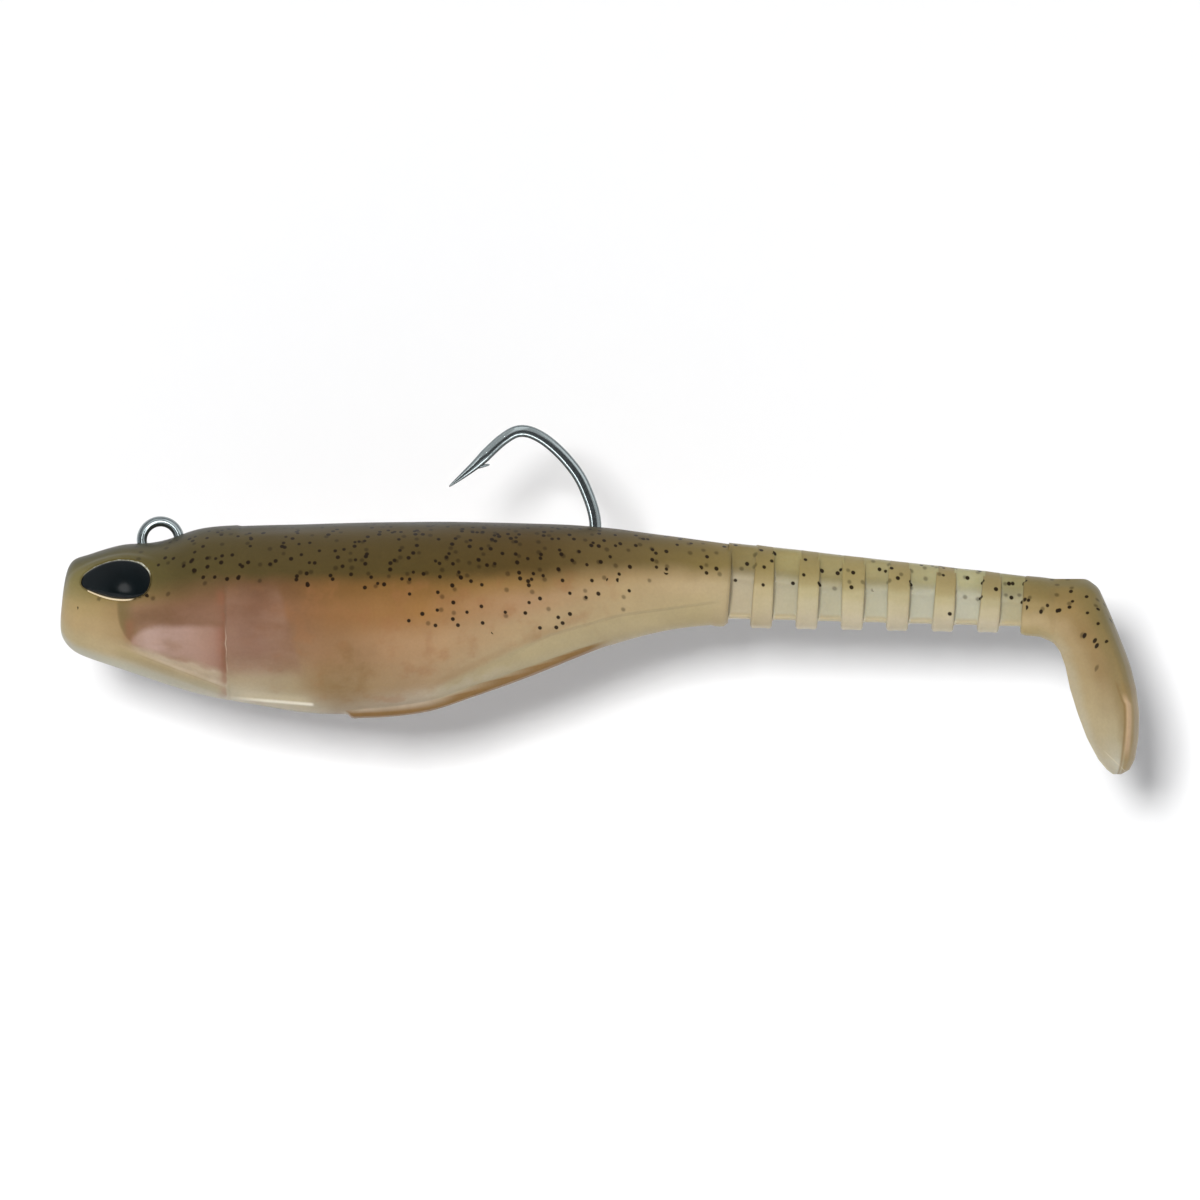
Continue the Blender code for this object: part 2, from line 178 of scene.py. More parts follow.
# ---------------------------------------------------------------- meshes


def make_piece(name, points, faces, material, skin_values=None):
    """A smooth-shaded mesh that remembers where each of its points lies at rest, in millimetres.

    skin_values are three more numbers for each point: a distance round the skin, for the flakes, and two
    that place the point for its colour.
    """
    points = np.asarray(points, float)
    mesh = bpy.data.meshes.new(name)
    mesh.from_pydata((points * MM).tolist(), [], faces)
    rest = mesh.attributes.new("rest", "FLOAT_VECTOR", "POINT")
    rest.data.foreach_set("vector", points.astype(np.float32).ravel())
    if skin_values is not None:
        values = mesh.attributes.new("skin", "FLOAT_VECTOR", "POINT")
        values.data.foreach_set("vector", np.asarray(skin_values, np.float32).ravel())
    mesh.validate()
    mesh.shade_smooth()
    mesh.materials.append(material)
    piece = bpy.data.objects.new(name, mesh)
    bpy.context.scene.collection.objects.link(piece)
    return piece


def skin(rings, cap_start=True, cap_end=True):
    """Points and faces of a skin over equal closed rings, with a fan on each closed end."""
    rings = np.asarray(rings, float)
    count, around = rings.shape[:2]
    points = rings.reshape(-1, 3)
    faces = []
    for ring in range(count - 1):
        base = ring * around
        for index in range(around):
            after = (index + 1) % around
            faces.append((base + index, base + after, base + around + after, base + around + index))
    for wanted, ring, flip in ((cap_start, 0, True), (cap_end, count - 1, False)):
        if not wanted:
            continue
        centre = len(points)
        points = np.vstack([points, rings[ring].mean(axis=0)])
        base = ring * around
        for index in range(around):
            after = (index + 1) % around
            corners = (base + index, base + after, centre)
            faces.append(corners[::-1] if flip else corners)
    return points, faces


def girth_of(rings):
    """Distance round each ring from its highest point, negative on the left."""
    steps = np.linalg.norm(np.roll(rings, -1, axis=1) - rings, axis=2)
    travelled = np.cumsum(steps, axis=1) - steps
    tops = np.argmax(rings[..., 2] - 0.001 * np.abs(rings[..., 1]), axis=1)
    start = travelled[np.arange(len(rings)), tops][:, None]
    whole = steps.sum(axis=1)[:, None]
    forward = (travelled - start) % whole
    return np.where(rings[..., 1] < 0, -1.0, 1.0) * np.minimum(forward, whole - forward)


def skin_numbers(rings, second, third):
    """The skin attribute for a skin over rings, with its cap centres."""
    values = np.stack([girth_of(rings), np.broadcast_to(second, rings.shape[:2]),
                       np.broadcast_to(third, rings.shape[:2])], axis=2)
    return np.vstack([values.reshape(-1, 3), values[0].mean(axis=0), values[-1].mean(axis=0)])


def join_parts(*parts):
    """Put several (points, faces) into one."""
    all_points, all_faces = [], []
    start = 0
    for points, faces in parts:
        all_points.append(points)
        all_faces += [tuple(start + index for index in face) for face in faces]
        start += len(points)
    return np.vstack(all_points), all_faces


def oval(x, top, bottom, half_width, around):
    """A ring across the lure, with its widest points at the shoulder."""
    angle = 2.0 * math.pi * np.arange(around) / around
    side, rise = np.cos(angle), np.sin(angle)
    shoulder = top - SHOULDER_DROP * (top - bottom)
    power = np.where(rise > 0, BACK_POWER, BELLY_POWER)
    height = np.where(rise > 0, top - shoulder, shoulder - bottom)
    y = half_width * np.sign(side) * np.abs(side) ** (2.0 / power)
    z = shoulder + height * np.sign(rise) * np.abs(rise) ** (2.0 / power)
    return np.stack([np.full(around, x), y, z], axis=1)


# ---------------------------------------------------------------- eyes


# Almond of the eye, along and up in its own plane, the dome over it, and the skin round it.
EYE_OUTLINE = [
    (-4.60, -0.20), (-4.05, 0.80), (-2.15, 1.92), (0.40, 2.54), (2.80, 2.20), (4.22, 1.05), (4.58, -0.40),
    (3.95, -1.88), (2.35, -2.56), (0.0, -2.52), (-2.30, -1.92), (-4.20, -1.05),
]
EYE_SLIDE = 0.28
DOME_CROWN = 1.15
DOME_RADIUS = 9.0
LID_HEIGHT = 0.08
LIP_HEIGHT = 0.16
SOCKET_DEPTH = 0.45
RIM_TURNS = 14


def run_between(before, start, end, after, steps):
    """Points on a Catmull-Rom curve from start up to, but without, end."""
    shares = [step / steps for step in range(steps)]
    return [0.5 * (2 * start + (end - before) * t + (2 * before - 5 * start + 4 * end - after) * t**2
                   + (3 * start - before - 3 * end + after) * t**3) for t in shares]


def closed_route(route, steps):
    """Points along a closed smooth curve through a route."""
    route = np.array(route, float)
    points = []
    for index in range(len(route)):
        corners = [route[(index + shift) % len(route)] for shift in (-1, 0, 1, 2)]
        points += run_between(*corners, steps)
    return np.array(points)


def smooth_route(route, steps):
    """Points along an open smooth curve through a route."""
    route = np.array(route, float)
    padded = np.vstack([route[:1], route, route[-1:]])
    points = []
    for index in range(len(route) - 1):
        points += run_between(*padded[index:index + 4], steps)
    points.append(route[-1])
    return np.array(points)


class EyePlace:
    """Where an eye lies: measured on the CAD foil, whose three axes are along, up and out of it."""

    def __init__(self, side, word):
        mesh = frame["nodes"]["eye_foil_" + word].data
        points = np.array([vertex.co for vertex in mesh.vertices], float) / MM
        middle = points.mean(axis=0)
        axes = np.linalg.svd(points - middle, full_matrices=False)[2]
        along = axes[0] * np.sign(axes[0][0])
        up = axes[1] * np.sign(axes[1][2])
        out = axes[2] * np.sign(axes[2][1]) * side
        self.axes = np.stack([along, up, out])
        self.out = out
        local = (points - middle) @ self.axes.T
        low, high = local.min(axis=0), local.max(axis=0)
        shift = (low + high) / 2
        shift[0] += EYE_SLIDE
        shift[2] = high[2] + 0.3
        self.centre = middle + shift @ self.axes
        outline = closed_route(EYE_OUTLINE, 16)
        self.outline = outline
        angles = np.arctan2(outline[:, 1], outline[:, 0])
        order = np.argsort(angles)
        self.angles = angles[order]
        self.reaches = np.hypot(outline[:, 0], outline[:, 1])[order]

    def place(self, local):
        """Turn points along, up and out of the eye into points of the lure."""
        return self.centre + np.asarray(local, float) @ self.axes

    def local(self, points):
        """Turn points of the lure into points along, up and out of the eye."""
        return (points - self.centre) @ self.axes.T

    def spread(self, local):
        """How far points lie from the eye's middle, 1 on its outline."""
        angle = np.arctan2(local[..., 1], local[..., 0])
        edge = np.interp(angle, self.angles, self.reaches, period=2.0 * math.pi)
        return np.hypot(local[..., 0], local[..., 1]) / edge


EYES = {"left": EyePlace(-1, "left"), "right": EyePlace(1, "right")}


def dome_height(outline, share):
    """Height of the eye's dome on a copy of its outline drawn in to a share of its size."""
    distance = np.hypot(outline[:, 0], outline[:, 1]) * share
    crown = DOME_CROWN - distance**2 / (2.0 * DOME_RADIUS)
    shoulder = 1.5 * math.sqrt(max(0.0, 1.0 - share**4)) + 0.12
    return -np.log(np.exp(-4.0 * crown) + np.exp(-4.0 * shoulder)) / 4.0


def build_dome(word, material):
    """The resin dome, which goes down a little into the rim."""
    eye = EYES[word]
    outline = eye.outline
    rings = [eye.place(np.column_stack([outline, np.full(len(outline), depth)])) for depth in (-0.5, 0.0)]
    for share in np.sin(np.linspace(math.pi / 2, 0.05, 26)):
        rings.append(eye.place(np.column_stack([outline * share, dome_height(outline, share)])))
    dome = make_piece("eye_lens_" + word, *skin(rings), material)
    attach(dome, "front_body")
    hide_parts("eye_dome_" + word)
    return dome


def rim_shape(outline):
    """Where the rim is low and where it is high on the eye, and its half thickness.

    It is thickest below and behind, and thin and broken above.
    """
    along, up = outline.T
    low = smoothstep(up, -0.7, -1.2) * smoothstep(along, 2.8, 1.9)
    low *= smoothstep(along, -3.75, -3.3)
    high = smoothstep(up, 0.2, 1.2)
    flicker = 0.5 + 0.5 * np.sin(along * 3.1 + 1.0) * np.sin(along * 7.3)
    rear = smoothstep(along, 1.6, 3.2) * high
    return low, high, 0.025 + 0.115 * low + high * (0.02 + 0.05 * flicker) + 0.08 * rear


def build_rim(word, material):
    """The bright rim round the dome, and the plate under it."""
    eye = EYES[word]
    outline = eye.outline
    outward_way = outline / np.hypot(outline[:, 0], outline[:, 1])[:, None]
    low, high, thickness = rim_shape(outline)
    rings = []
    for turn in range(RIM_TURNS + 1):
        roll = 2.0 * math.pi * turn / RIM_TURNS
        flat = outline + outward_way * (0.02 + thickness * (1.0 + math.cos(roll)))[:, None]
        rings.append(eye.place(np.column_stack([flat, 0.02 + thickness * 1.3 * math.sin(roll)])))
    plate = [eye.place(np.column_stack([outline, np.full(len(outline), depth)])) for depth in (-0.56, -0.52)]
    tone = np.column_stack([low, high, low])
    tones = np.vstack([np.tile(tone, (RIM_TURNS + 1, 1)), np.zeros((2 * len(outline) + 2, 3))])
    parts = join_parts(skin(rings, False, False), skin(plate))
    rim = make_piece("eye_rim_" + word, *parts, material, tones)
    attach(rim, "front_body")
    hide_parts("eye_foil_" + word)


# ---------------------------------------------------------------- body


def fold_line(x):
    """Height of the fold that bounds the sunken lower flank."""
    return np.interp(x, (35.9, 43.0, 50.5, 59.6, 72.0), (-19.0, -15.6, -12.3, -9.7, -8.0))


def keel_height(x):
    """How far the flanks end above the lowest line of the body."""
    return np.interp(x, (17.5, 21.0, 24.4, 27.0, 33.0, 41.5, 48.0, 53.5, 59.0),
                     (0.0, 0.22, 0.6, 0.8, 0.95, 1.0, 0.8, 0.5, 0.0))


def keel_depth(x):
    """How far the narrow keel stands down between them; it starts with a step."""
    return keel_height(x) * smoothstep(x, 24.1, 25.1)


def body_relief(x, z, top):
    """How far the gill, jaw fold, belly ridge, lower flank and back stand out, in millimetres."""
    gill_x = 8.5 + 0.006 * (z + 12.0) ** 2
    gill_span = smoothstep(z, -21.2, -19.6) * smoothstep(z, -4.6, -6.4)
    plate = 0.2 * np.exp(-np.clip(gill_x - x, 0.0, None) / 2.6) * (x < gill_x)
    crease = -0.14 * bell(x, gill_x + 0.18, 0.2)
    offset = (plate + crease) * gill_span

    jaw_z = -14.4 - 0.37 * (x + 3.0)
    jaw_span = smoothstep(x, -8.0, -3.0) * smoothstep(x, 8.8, 7.6)
    offset += jaw_span * (0.1 * bell(z, jaw_z - 0.75, 0.6) - 0.12 * bell(z, jaw_z, 0.35))

    ridge_z = -20.45 - 0.08 * (x - 10.0)
    ridge_span = smoothstep(x, 9.0, 10.4) * smoothstep(x, 20.6, 19.2)
    offset += 0.12 * ridge_span * bell(z, ridge_z, 0.3)

    below = fold_line(x) - z
    panel_span = smoothstep(x, 35.0, 41.0) * smoothstep(x, 72.4, 71.9)
    soft = np.interp(x, (36.0, 50.0), (2.2, 0.35))
    offset -= 0.24 * panel_span * smoothstep(below, 0.0, soft)
    offset += 0.07 * smoothstep(x, 48.5, 51.0) * panel_span * bell(below, -0.18, 0.2)

    back_span = smoothstep(z, top - 1.6, top - 0.5)
    offset -= 0.13 * back_span * smoothstep(x, 10.1, 10.45) * smoothstep(x, 30.0, 16.0)
    return offset


def outward(rings):
    """Outward direction at each point of a skin of rings."""
    round_about = np.roll(rings, -1, axis=1) - np.roll(rings, 1, axis=1)
    normals = np.cross(round_about, np.gradient(rings, axis=0))
    return normals / np.maximum(np.linalg.norm(normals, axis=2), 1e-9)[..., None]


def sink_eyes(rings):
    """The body's rings with a hollow under each eye and a lid round it."""
    for eye in EYES.values():
        local = eye.local(rings)
        spread = eye.spread(local)
        near = (local[..., 2] > -4.0) & (spread < 1.7)
        lid = smoothstep(spread, 1.55, 1.08) * near
        brow = smoothstep(local[..., 1], -0.6, 1.0) + 0.8 * smoothstep(local[..., 0], 3.2, 4.6)
        lip = bell(spread, 1.1, 0.05) * np.clip(brow, 0.0, 1.0) * near
        sunk = smoothstep(spread, 1.05, 1.0) * near
        height = local[..., 2]
        height = height + (LID_HEIGHT - height) * lid + LIP_HEIGHT * lip
        height = height - (SOCKET_DEPTH + height) * sunk
        rings = rings + (height - local[..., 2])[..., None] * eye.out
    return rings


def build_body(materials):
    """Head and trunk: one skin from the nose to the first groove."""
    outline, nose = measure_body()
    shares = np.linspace(0.0, 1.0, BODY_STATIONS)
    places = nose + NOSE_STEP + (BODY_REAR - nose - NOSE_STEP) * shares**BODY_CROWDING
    top, bottom, half = outline(places)
    keel = keel_height(places)
    depth = keel_depth(places)
    rear = smoothstep(places, BODY_REAR - REAR_ROUNDING, BODY_REAR)
    bottom = bottom + REAR_ROUNDING * (1.0 - np.sqrt(1.0 - rear**2))
    rings = np.array([oval(*values, BODY_AROUND) for values in zip(places, top, bottom + keel, half)])
    x, y, z = rings[..., 0], rings[..., 1], rings[..., 2]
    rings = rings + outward(rings) * body_relief(x, z, top[:, None])[..., None]

    lower_half = z < (top + bottom)[:, None] / 2
    slit_span = smoothstep(places, 25.6, 26.4) * smoothstep(places, 58.5, 56.5)
    rings[..., 2] -= smoothstep(np.abs(y), 2.7, 2.3) * lower_half * depth[:, None]
    rings[..., 2] += SLIT_DEPTH * smoothstep(np.abs(y), 0.95, 0.55) * lower_half * slit_span[:, None]
    rings[..., 0] += REAR_SLANT * smoothstep(x, BODY_REAR - 4.0, BODY_REAR) * smoothstep(z, -10.5, -2.0)
    above_belly = rings[..., 2] - (bottom + keel)[:, None]
    rings = sink_eyes(rings)
    keel_band = smoothstep(np.abs(rings[..., 1]), 2.75, 2.45) * lower_half
    numbers = skin_numbers(rings, above_belly, keel_band * smoothstep(depth, 0.02, 0.3)[:, None])
    body = make_piece("body_skin", *skin(rings), materials["plastisol"], numbers)
    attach(body, "front_body")
    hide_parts("body_moulding")


# ---------------------------------------------------------------- tail


def tail_lines():
    """Top and bottom of the ribs along x, measured on the CAD ribs, and their half width."""
    middles, tops, bottoms, halves = [], [], [], []
    for number in range(1, 7):
        low, high = box_mm("tail_rib_" + str(number))
        middles.append((GROOVES[number - 1] + GROOVES[number]) / 2)
        tops.append(high.z)
        bottoms.append(low.z)
        halves.append(high.y)
    fits = [np.polyfit(middles, values, 1) for values in (tops, bottoms, halves)]
    return [lambda x, fit=fit: np.polyval(fit, x) for fit in fits]


def front_lean(number, drop):
    """How far a rib's front face leans back, from its top, where drop is 0, to its bottom, where it is 1."""
    return RIB_LEANS[number - 1] * (1.0 - drop) - 0.1 * drop


def rear_lean(drop):
    """The same for the rear face, which is alike on all ribs."""
    return 0.2 - 0.38 * drop


def shrink(ring, share):
    """The same ring drawn in towards its middle."""
    middle = ring.mean(axis=0)
    return middle + (ring - middle) * share


def build_rib(number, lines, materials):
    """One rib: an oval plate with rounded edges and faintly hollow faces."""
    top_line, bottom_line, half_line = lines
    start = GROOVES[number - 1] + GROOVE_LENGTH / 2
    end = GROOVES[number] - GROOVE_LENGTH / 2
    turns = [math.pi / 2 * step / 6 for step in range(7)]
    edge = [(RIB_EDGE * (1 - math.cos(turn)), RIB_EDGE * (1 - math.sin(turn))) for turn in turns]
    stations = [(start + back, inset) for back, inset in edge]
    flat = end - start - 2 * RIB_EDGE
    for share in (0.3, 0.5, 0.7):
        stations.append((start + RIB_EDGE + flat * share, RIB_HOLLOW * math.sin(math.pi * share)))
    stations += [(end - back, inset) for back, inset in reversed(edge)]
    rings = []
    for x, inset in stations:
        top, bottom = top_line(x) - inset * 0.2, bottom_line(x) + inset * 1.2
        ring = oval(x, top, bottom, half_line(x) - inset * 0.6, 96)
        drop = np.clip((top - ring[:, 2]) / (top - bottom), 0.0, 1.0)
        foremost = (end - x) / (end - start)
        ring[:, 0] += front_lean(number, drop) * foremost + rear_lean(drop) * (1.0 - foremost)
        rings.append(ring)
    first, last = rings[0], rings[-1]
    rings = [shrink(first, 0.4), shrink(first, 0.9)] + rings + [shrink(last, 0.9), shrink(last, 0.4)]
    rings = np.array(rings)
    numbers = skin_numbers(rings, rings[..., 2] - bottom_line(rings[..., 0]), 0.0)
    rib = make_piece("tail_rib_skin_" + str(number), *skin(rings), materials["plastisol"], numbers)
    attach(rib, "rib_" + str(number))
    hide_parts("tail_rib_" + str(number))


def core_section(x, top, bottom, flange, web, bead):
    """A ring of the tail's core: thick flange on top that thins to a web, and a bead along the bottom."""
    under = top - 0.38 * (top - bottom)
    half = [
        (0.0, top), (flange * 0.45, top - 0.04), (flange * 0.82, top - 0.25), (flange, top - 0.85),
        (flange * 1.0, under + 1.0), (flange * 0.86, under + 0.3), (flange * 0.66, under - 0.3),
        (web * 1.45, under - 0.9), (web * 1.12, under - 1.5), (web, under - 2.1),
        (web, bottom + 1.7), (web * 1.03, bottom + 1.2), (bead * 0.85, bottom + 0.8),
        (bead, bottom + 0.45), (bead * 0.88, bottom + 0.15), (bead * 0.5, bottom + 0.02), (0.0, bottom),
    ]
    right = [(x, y, z) for y, z in half]
    left = [(x, -y, z) for y, z in reversed(half[1:-1])]
    return np.array(right + left, float)


def refine(ring, times):
    """Round off a closed ring by cutting its corners."""
    for _ in range(times):
        after = np.roll(ring, -1, axis=0)
        cut = np.empty((2 * len(ring), 3))
        cut[0::2] = 0.75 * ring + 0.25 * after
        cut[1::2] = 0.25 * ring + 0.75 * after
        ring = cut
    return ring


def build_web(number, lines, materials):
    """The core in one groove, between the bodies on both sides of it."""
    top_line, bottom_line = lines[:2]
    middle = GROOVES[number - 1]
    start, end = middle - GROOVE_LENGTH / 2 - WEB_OVERLAP, middle + GROOVE_LENGTH / 2 + WEB_OVERLAP
    share = (middle - GROOVES[0]) / (GROOVES[-1] - GROOVES[0])
    rings = []
    for step in range(WEB_STEPS + 1):
        x = start + (end - start) * step / WEB_STEPS
        flare = max(0.0, abs(x - middle) / (GROOVE_LENGTH / 2) - 0.72) ** 2 * 3.2
        ring = core_section(
            x,
            top_line(x) - (0.1 if number == 1 else 0.0),
            bottom_line(x) + (1.2 - 0.3 * share) - flare * 0.5,
            (FLANGE_HALF[0] - FLANGE_HALF[1] * share) * (1 + flare * 0.25),
            (WEB_HALF[0] - WEB_HALF[1] * share) + flare * 0.9,
            (BEAD_HALF[0] - BEAD_HALF[1] * share) + flare * 0.5,
        )
        ring = refine(ring, 2)
        drop = np.clip((top_line(x) - ring[:, 2]) / (top_line(x) - bottom_line(x)), 0.0, 1.0)
        first = rear_lean(drop) if number > 1 else REAR_SLANT * smoothstep(ring[:, 2], -10.5, -2.0)
        last = front_lean(number, drop) if number < 7 else -BOOT_SLANT * smoothstep(ring[:, 2], -6.0, -11.0)
        ring[:, 0] += first + (last - first) * step / WEB_STEPS
        rings.append(ring)
    rings = np.array(rings)
    behind = np.linspace(-WEB_OVERLAP, GROOVE_LENGTH + WEB_OVERLAP, len(rings))[:, None]
    numbers = skin_numbers(rings, rings[..., 2] - rings[..., 2].min(axis=1)[:, None], behind)
    web = make_piece("tail_web_" + str(number), *skin(rings), materials["web"], numbers)
    start * MM
    end * MM
    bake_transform(web)


# Middle line of boot and paddle in XZ, and how far a section across it is turned, in degrees, at each point.
BOOT_SPINE = [
    (112.6, -8.4), (114.5, -8.5), (116.8, -8.9), (119.0, -10.0), (120.6, -12.2), (121.8, -15.5),
    (122.9, -19.5), (123.9, -24.0), (124.4, -27.6), (124.5, -29.4), (124.5, -30.2), (124.5, -30.47),
]
BOOT_TURN = [90.0, 88.0, 74.0, 47.0, 24.0, 14.0, 7.0, 0.0, -2.0, -1.0, 0.0, 0.0]
BOOT_ACROSS = 44
BOOT_ALONG = 190
BOOT_SLANT = 0.3
SLOT_MARGIN = 0.25


def filled(values, good):
    """The values with the bad ones replaced by interpolation between the good ones."""
    places = np.arange(len(values))
    return np.interp(places, places[good], values[good])


def settled(table, reach_out):
    """The median of each column over neighbouring rows."""
    rows = np.arange(len(table))
    near = [table[np.clip(rows + shift, 0, len(table) - 1)] for shift in range(-reach_out, reach_out + 1)]
    return np.median(np.stack(near), axis=0)


def boot_edges(tree, slot_x):
    """Lower and upper end of each section of boot and paddle; the sections turn down with the paddle."""
    spine = smooth_route(BOOT_SPINE, 12)
    turns = np.radians(np.interp(np.arange(len(spine)) / 12.0, range(len(BOOT_TURN)), BOOT_TURN))
    edges = []
    for (x, z), turn in zip(spine, turns):
        across = Vector((math.cos(turn), 0.0, math.sin(turn)))
        middle = Vector((x, 0.0, z))
        over = reach(tree, middle + 60.0 * across, -across)
        under = reach(tree, middle - 60.0 * across, across)
        if over is not None and under is not None and (over - under).length < 16.0:
            edges.append((under.x, under.z, over.x, over.z))
    edges = np.array(edges)
    for first in (0, 2):
        good = np.abs(edges[:, first] - slot_x) > SLOT_MARGIN
        edges[:, first] = filled(edges[:, first], good)
        edges[:, first + 1] = filled(edges[:, first + 1], good)
    return settled(edges, 1)


def along_section(edge, shares):
    """Places in XZ at shares of the way from the lower to the upper end of a section."""
    under_x, under_z, over_x, over_z = edge
    return under_x + (over_x - under_x) * shares, under_z + (over_z - under_z) * shares


def boot_widths(tree, slot_x, edges, shares):
    """Half widths at shares of the way up each section."""
    inside = np.clip(shares, 0.004, 0.996)
    widths, good = [], []
    for edge in edges:
        xs, zs = along_section(edge, inside)
        sides = [reach(tree, (x, 40, z), (0, -1, 0)) for x, z in zip(xs, zs)]
        widths.append([side.y if side else 0.0 for side in sides])
        good.append(np.abs(xs - slot_x) > SLOT_MARGIN + 0.05)
    columns = zip(np.array(widths).T, np.array(good).T)
    widths = settled(np.stack([filled(*column) for column in columns], axis=1), 2)
    return blur(blur(widths, 3).T, 1).T


def stretched(table, count):
    """The rows of a table, resampled to a count."""
    places = np.linspace(0.0, len(table) - 1.0, count)
    return np.stack([np.interp(places, range(len(table)), column) for column in table.T], axis=1)


def boot_ring(edge, widths, shares):
    """A ring that goes up the right side of a section and back down the left."""
    x, z = along_section(edge, shares)
    width = widths.copy()
    width[0] = width[-1] = 0.0
    right = np.stack([x, width, z], axis=1)
    left = right[1:-1][::-1] * (1.0, -1.0, 1.0)
    return np.vstack([right, left])


def boot_face(ring, start):
    """Rings that lead from the middle of the boot's flat face over its rounded edge to its first ring."""
    lead = []
    for share, back in ((0.5, 1.0), (0.93, 1.0), (0.965, 0.8), (0.985, 0.45)):
        inner = shrink(ring, share)
        inner[:, 0] = ring[:, 0] - (ring[:, 0] - start) * back
        lead.append(inner)
    return lead


def build_boot(materials):
    """Boot and paddle: one skin from the flat face of the boot down to the paddle's tip.

    A ray that falls into the slot between the two is left out, and its neighbours bridge it.
    """
    tree = surface_of("tail_boot", "paddle")
    slot_x = (box_mm("tail_boot")[1].x + box_mm("paddle")[0].x) / 2
    shares = 0.5 - 0.5 * np.cos(math.pi * np.arange(BOOT_ACROSS) / (BOOT_ACROSS - 1))
    edges = boot_edges(tree, slot_x)
    widths = stretched(boot_widths(tree, slot_x, edges, shares), BOOT_ALONG)
    edges = stretched(blur(edges, 1), BOOT_ALONG)
    rings = [boot_ring(edge, row, shares) for edge, row in zip(edges, widths)]
    start = GROOVES[-1] + GROOVE_LENGTH / 2
    lead = boot_face(rings[0], start)
    rings = np.array(lead + rings)
    slant = smoothstep(rings[..., 0], start + 1.6, start) * smoothstep(rings[..., 2], -6.0, -11.0)
    rings[..., 0] -= BOOT_SLANT * slant
    along = np.concatenate([np.zeros(len(lead)), np.linspace(0.0, 1.0, BOOT_ALONG)])
    across = np.concatenate([shares, shares[1:-1][::-1]])
    numbers = skin_numbers(rings, along[:, None], across[None, :])
    points = np.vstack([rings.reshape(-1, 3), rings[0].mean(axis=0), rings[-1].mean(axis=0)])
    numbers[:, 0] = points[:, 2] + points[:, 1]
    boot = make_piece("boot_skin", *skin(rings), materials["boot"], numbers)
    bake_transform(boot)
    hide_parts("tail_boot", "paddle")


# ---------------------------------------------------------------- hook


# Ring eye, half thicknesses of the wire, and its route in XZ from the ring to the point.
RING_RADIUS = 2.43
RING_LENGTH = 12.5
RING_WIRE = 0.67
HOOK_WIRE = 0.79
HOOK_FLAT = 0.6
HOOK_ROUTE = [
    (1.21, -2.1), (0.35, -3.2), (0.1, -5.0), (1.2, -7.4), (4.5, -8.9), (14.0, -9.2), (30.0, -9.4),
    (44.0, -9.2), (51.0, -7.4), (55.2, -3.2), (56.6, 1.8), (55.2, 6.9), (52.9, 10.4), (49.8, 13.2),
    (47.0, 14.2), (44.5, 13.05), (40.9, 9.7), (37.55, 6.95),
]
WIRE_AROUND = 28
POINT_LENGTH = 7.0
BARB_ROOT = (41.2, 9.5)
BARB_TIP = (42.85, 9.83)


def sweep(path, halves_in_plane, halves_across, around):
    """A wire in the XZ plane with its own thickness in the plane and across it at each point.

    Also gives where each point lies in the plane, from -1 on the wire's right side to 1 on its left.
    """
    tangents = np.gradient(path, axis=0)
    tangents /= np.linalg.norm(tangents, axis=1)[:, None]
    sideways = np.stack([-tangents[:, 1], tangents[:, 0]], axis=1)
    angle = 2.0 * math.pi * np.arange(around) / around
    rings = []
    for place, side, in_plane, across in zip(path, sideways, halves_in_plane, halves_across):
        flatness = 2.0 / (2.0 + 4.0 * max(0.0, 1.0 - across / in_plane))
        lean = np.sign(np.cos(angle)) * np.abs(np.cos(angle)) ** flatness * in_plane
        y = np.sign(np.sin(angle)) * np.abs(np.sin(angle)) ** flatness * across
        rings.append(np.stack([place[0] + side[0] * lean, y, place[1] + side[1] * lean], axis=1))
    return skin(rings), np.concatenate([np.tile(np.cos(angle), len(path)), [0.0, 0.0]])


def barb_shape():
    """Middle line and half thicknesses of the barb, which thins towards its tip."""
    root, tip = np.array(BARB_ROOT), np.array(BARB_TIP)
    line = root + (tip - root) * np.linspace(-0.5, 1.0, 12)[:, None]
    share = np.linspace(0.0, 1.0, 12)
    thin = (0.19 + 0.2 * (1.0 - share) ** 2) * np.sqrt(1.0 - 0.9 * share**8)
    return line, thin, thin * 0.9


def build_hook(materials):
    """Ring eye, shank, forged bend, sharpened point and barb."""
    turn = np.radians(np.linspace(235.0, -60.0, 72))[:-1]
    ring = np.stack([RING_RADIUS * np.cos(turn), RING_RADIUS * np.sin(turn)], axis=1)
    path = np.vstack([ring, smooth_route(HOOK_ROUTE, 14)])
    steps = np.linalg.norm(np.diff(path, axis=0), axis=1)
    to_point = np.concatenate([np.cumsum(steps[::-1])[::-1], [0.0]])
    from_ring = np.concatenate([[0.0], np.cumsum(steps)]) - RING_LENGTH
    forged = smoothstep(from_ring, 6.0, 20.0)
    taper = np.minimum(1.0, (to_point / POINT_LENGTH) ** 0.8 + 0.1) * smoothstep(to_point, -0.05, 0.12)
    in_plane = (RING_WIRE + (HOOK_WIRE - RING_WIRE) * forged) * taper
    across = (RING_WIRE + (HOOK_FLAT - RING_WIRE) * forged) * taper
    wire, inner = sweep(path, in_plane, across, WIRE_AROUND)
    inner[:WIRE_AROUND * len(ring)] *= -1.0

    barb, barb_inner = sweep(*barb_shape(), 14)
    inner = np.concatenate([inner, 0.0 * barb_inner])
    numbers = np.stack([inner] * 3, axis=1)
    hook = make_piece("hook_wire", *join_parts(wire, barb), materials["steel"], numbers)
    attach(hook, "front_body")
    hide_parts("jig_hook")
    return hook


# ---------------------------------------------------------------- materials


def linear(*colour):
    """A display colour, 0 to 255, as the linear values that a shader takes."""
    values = [channel / 255.0 for channel in colour]
    return tuple(v / 12.92 if v <= 0.04045 else ((v + 0.055) / 1.055) ** 2.4 for v in values) + (1.0,)


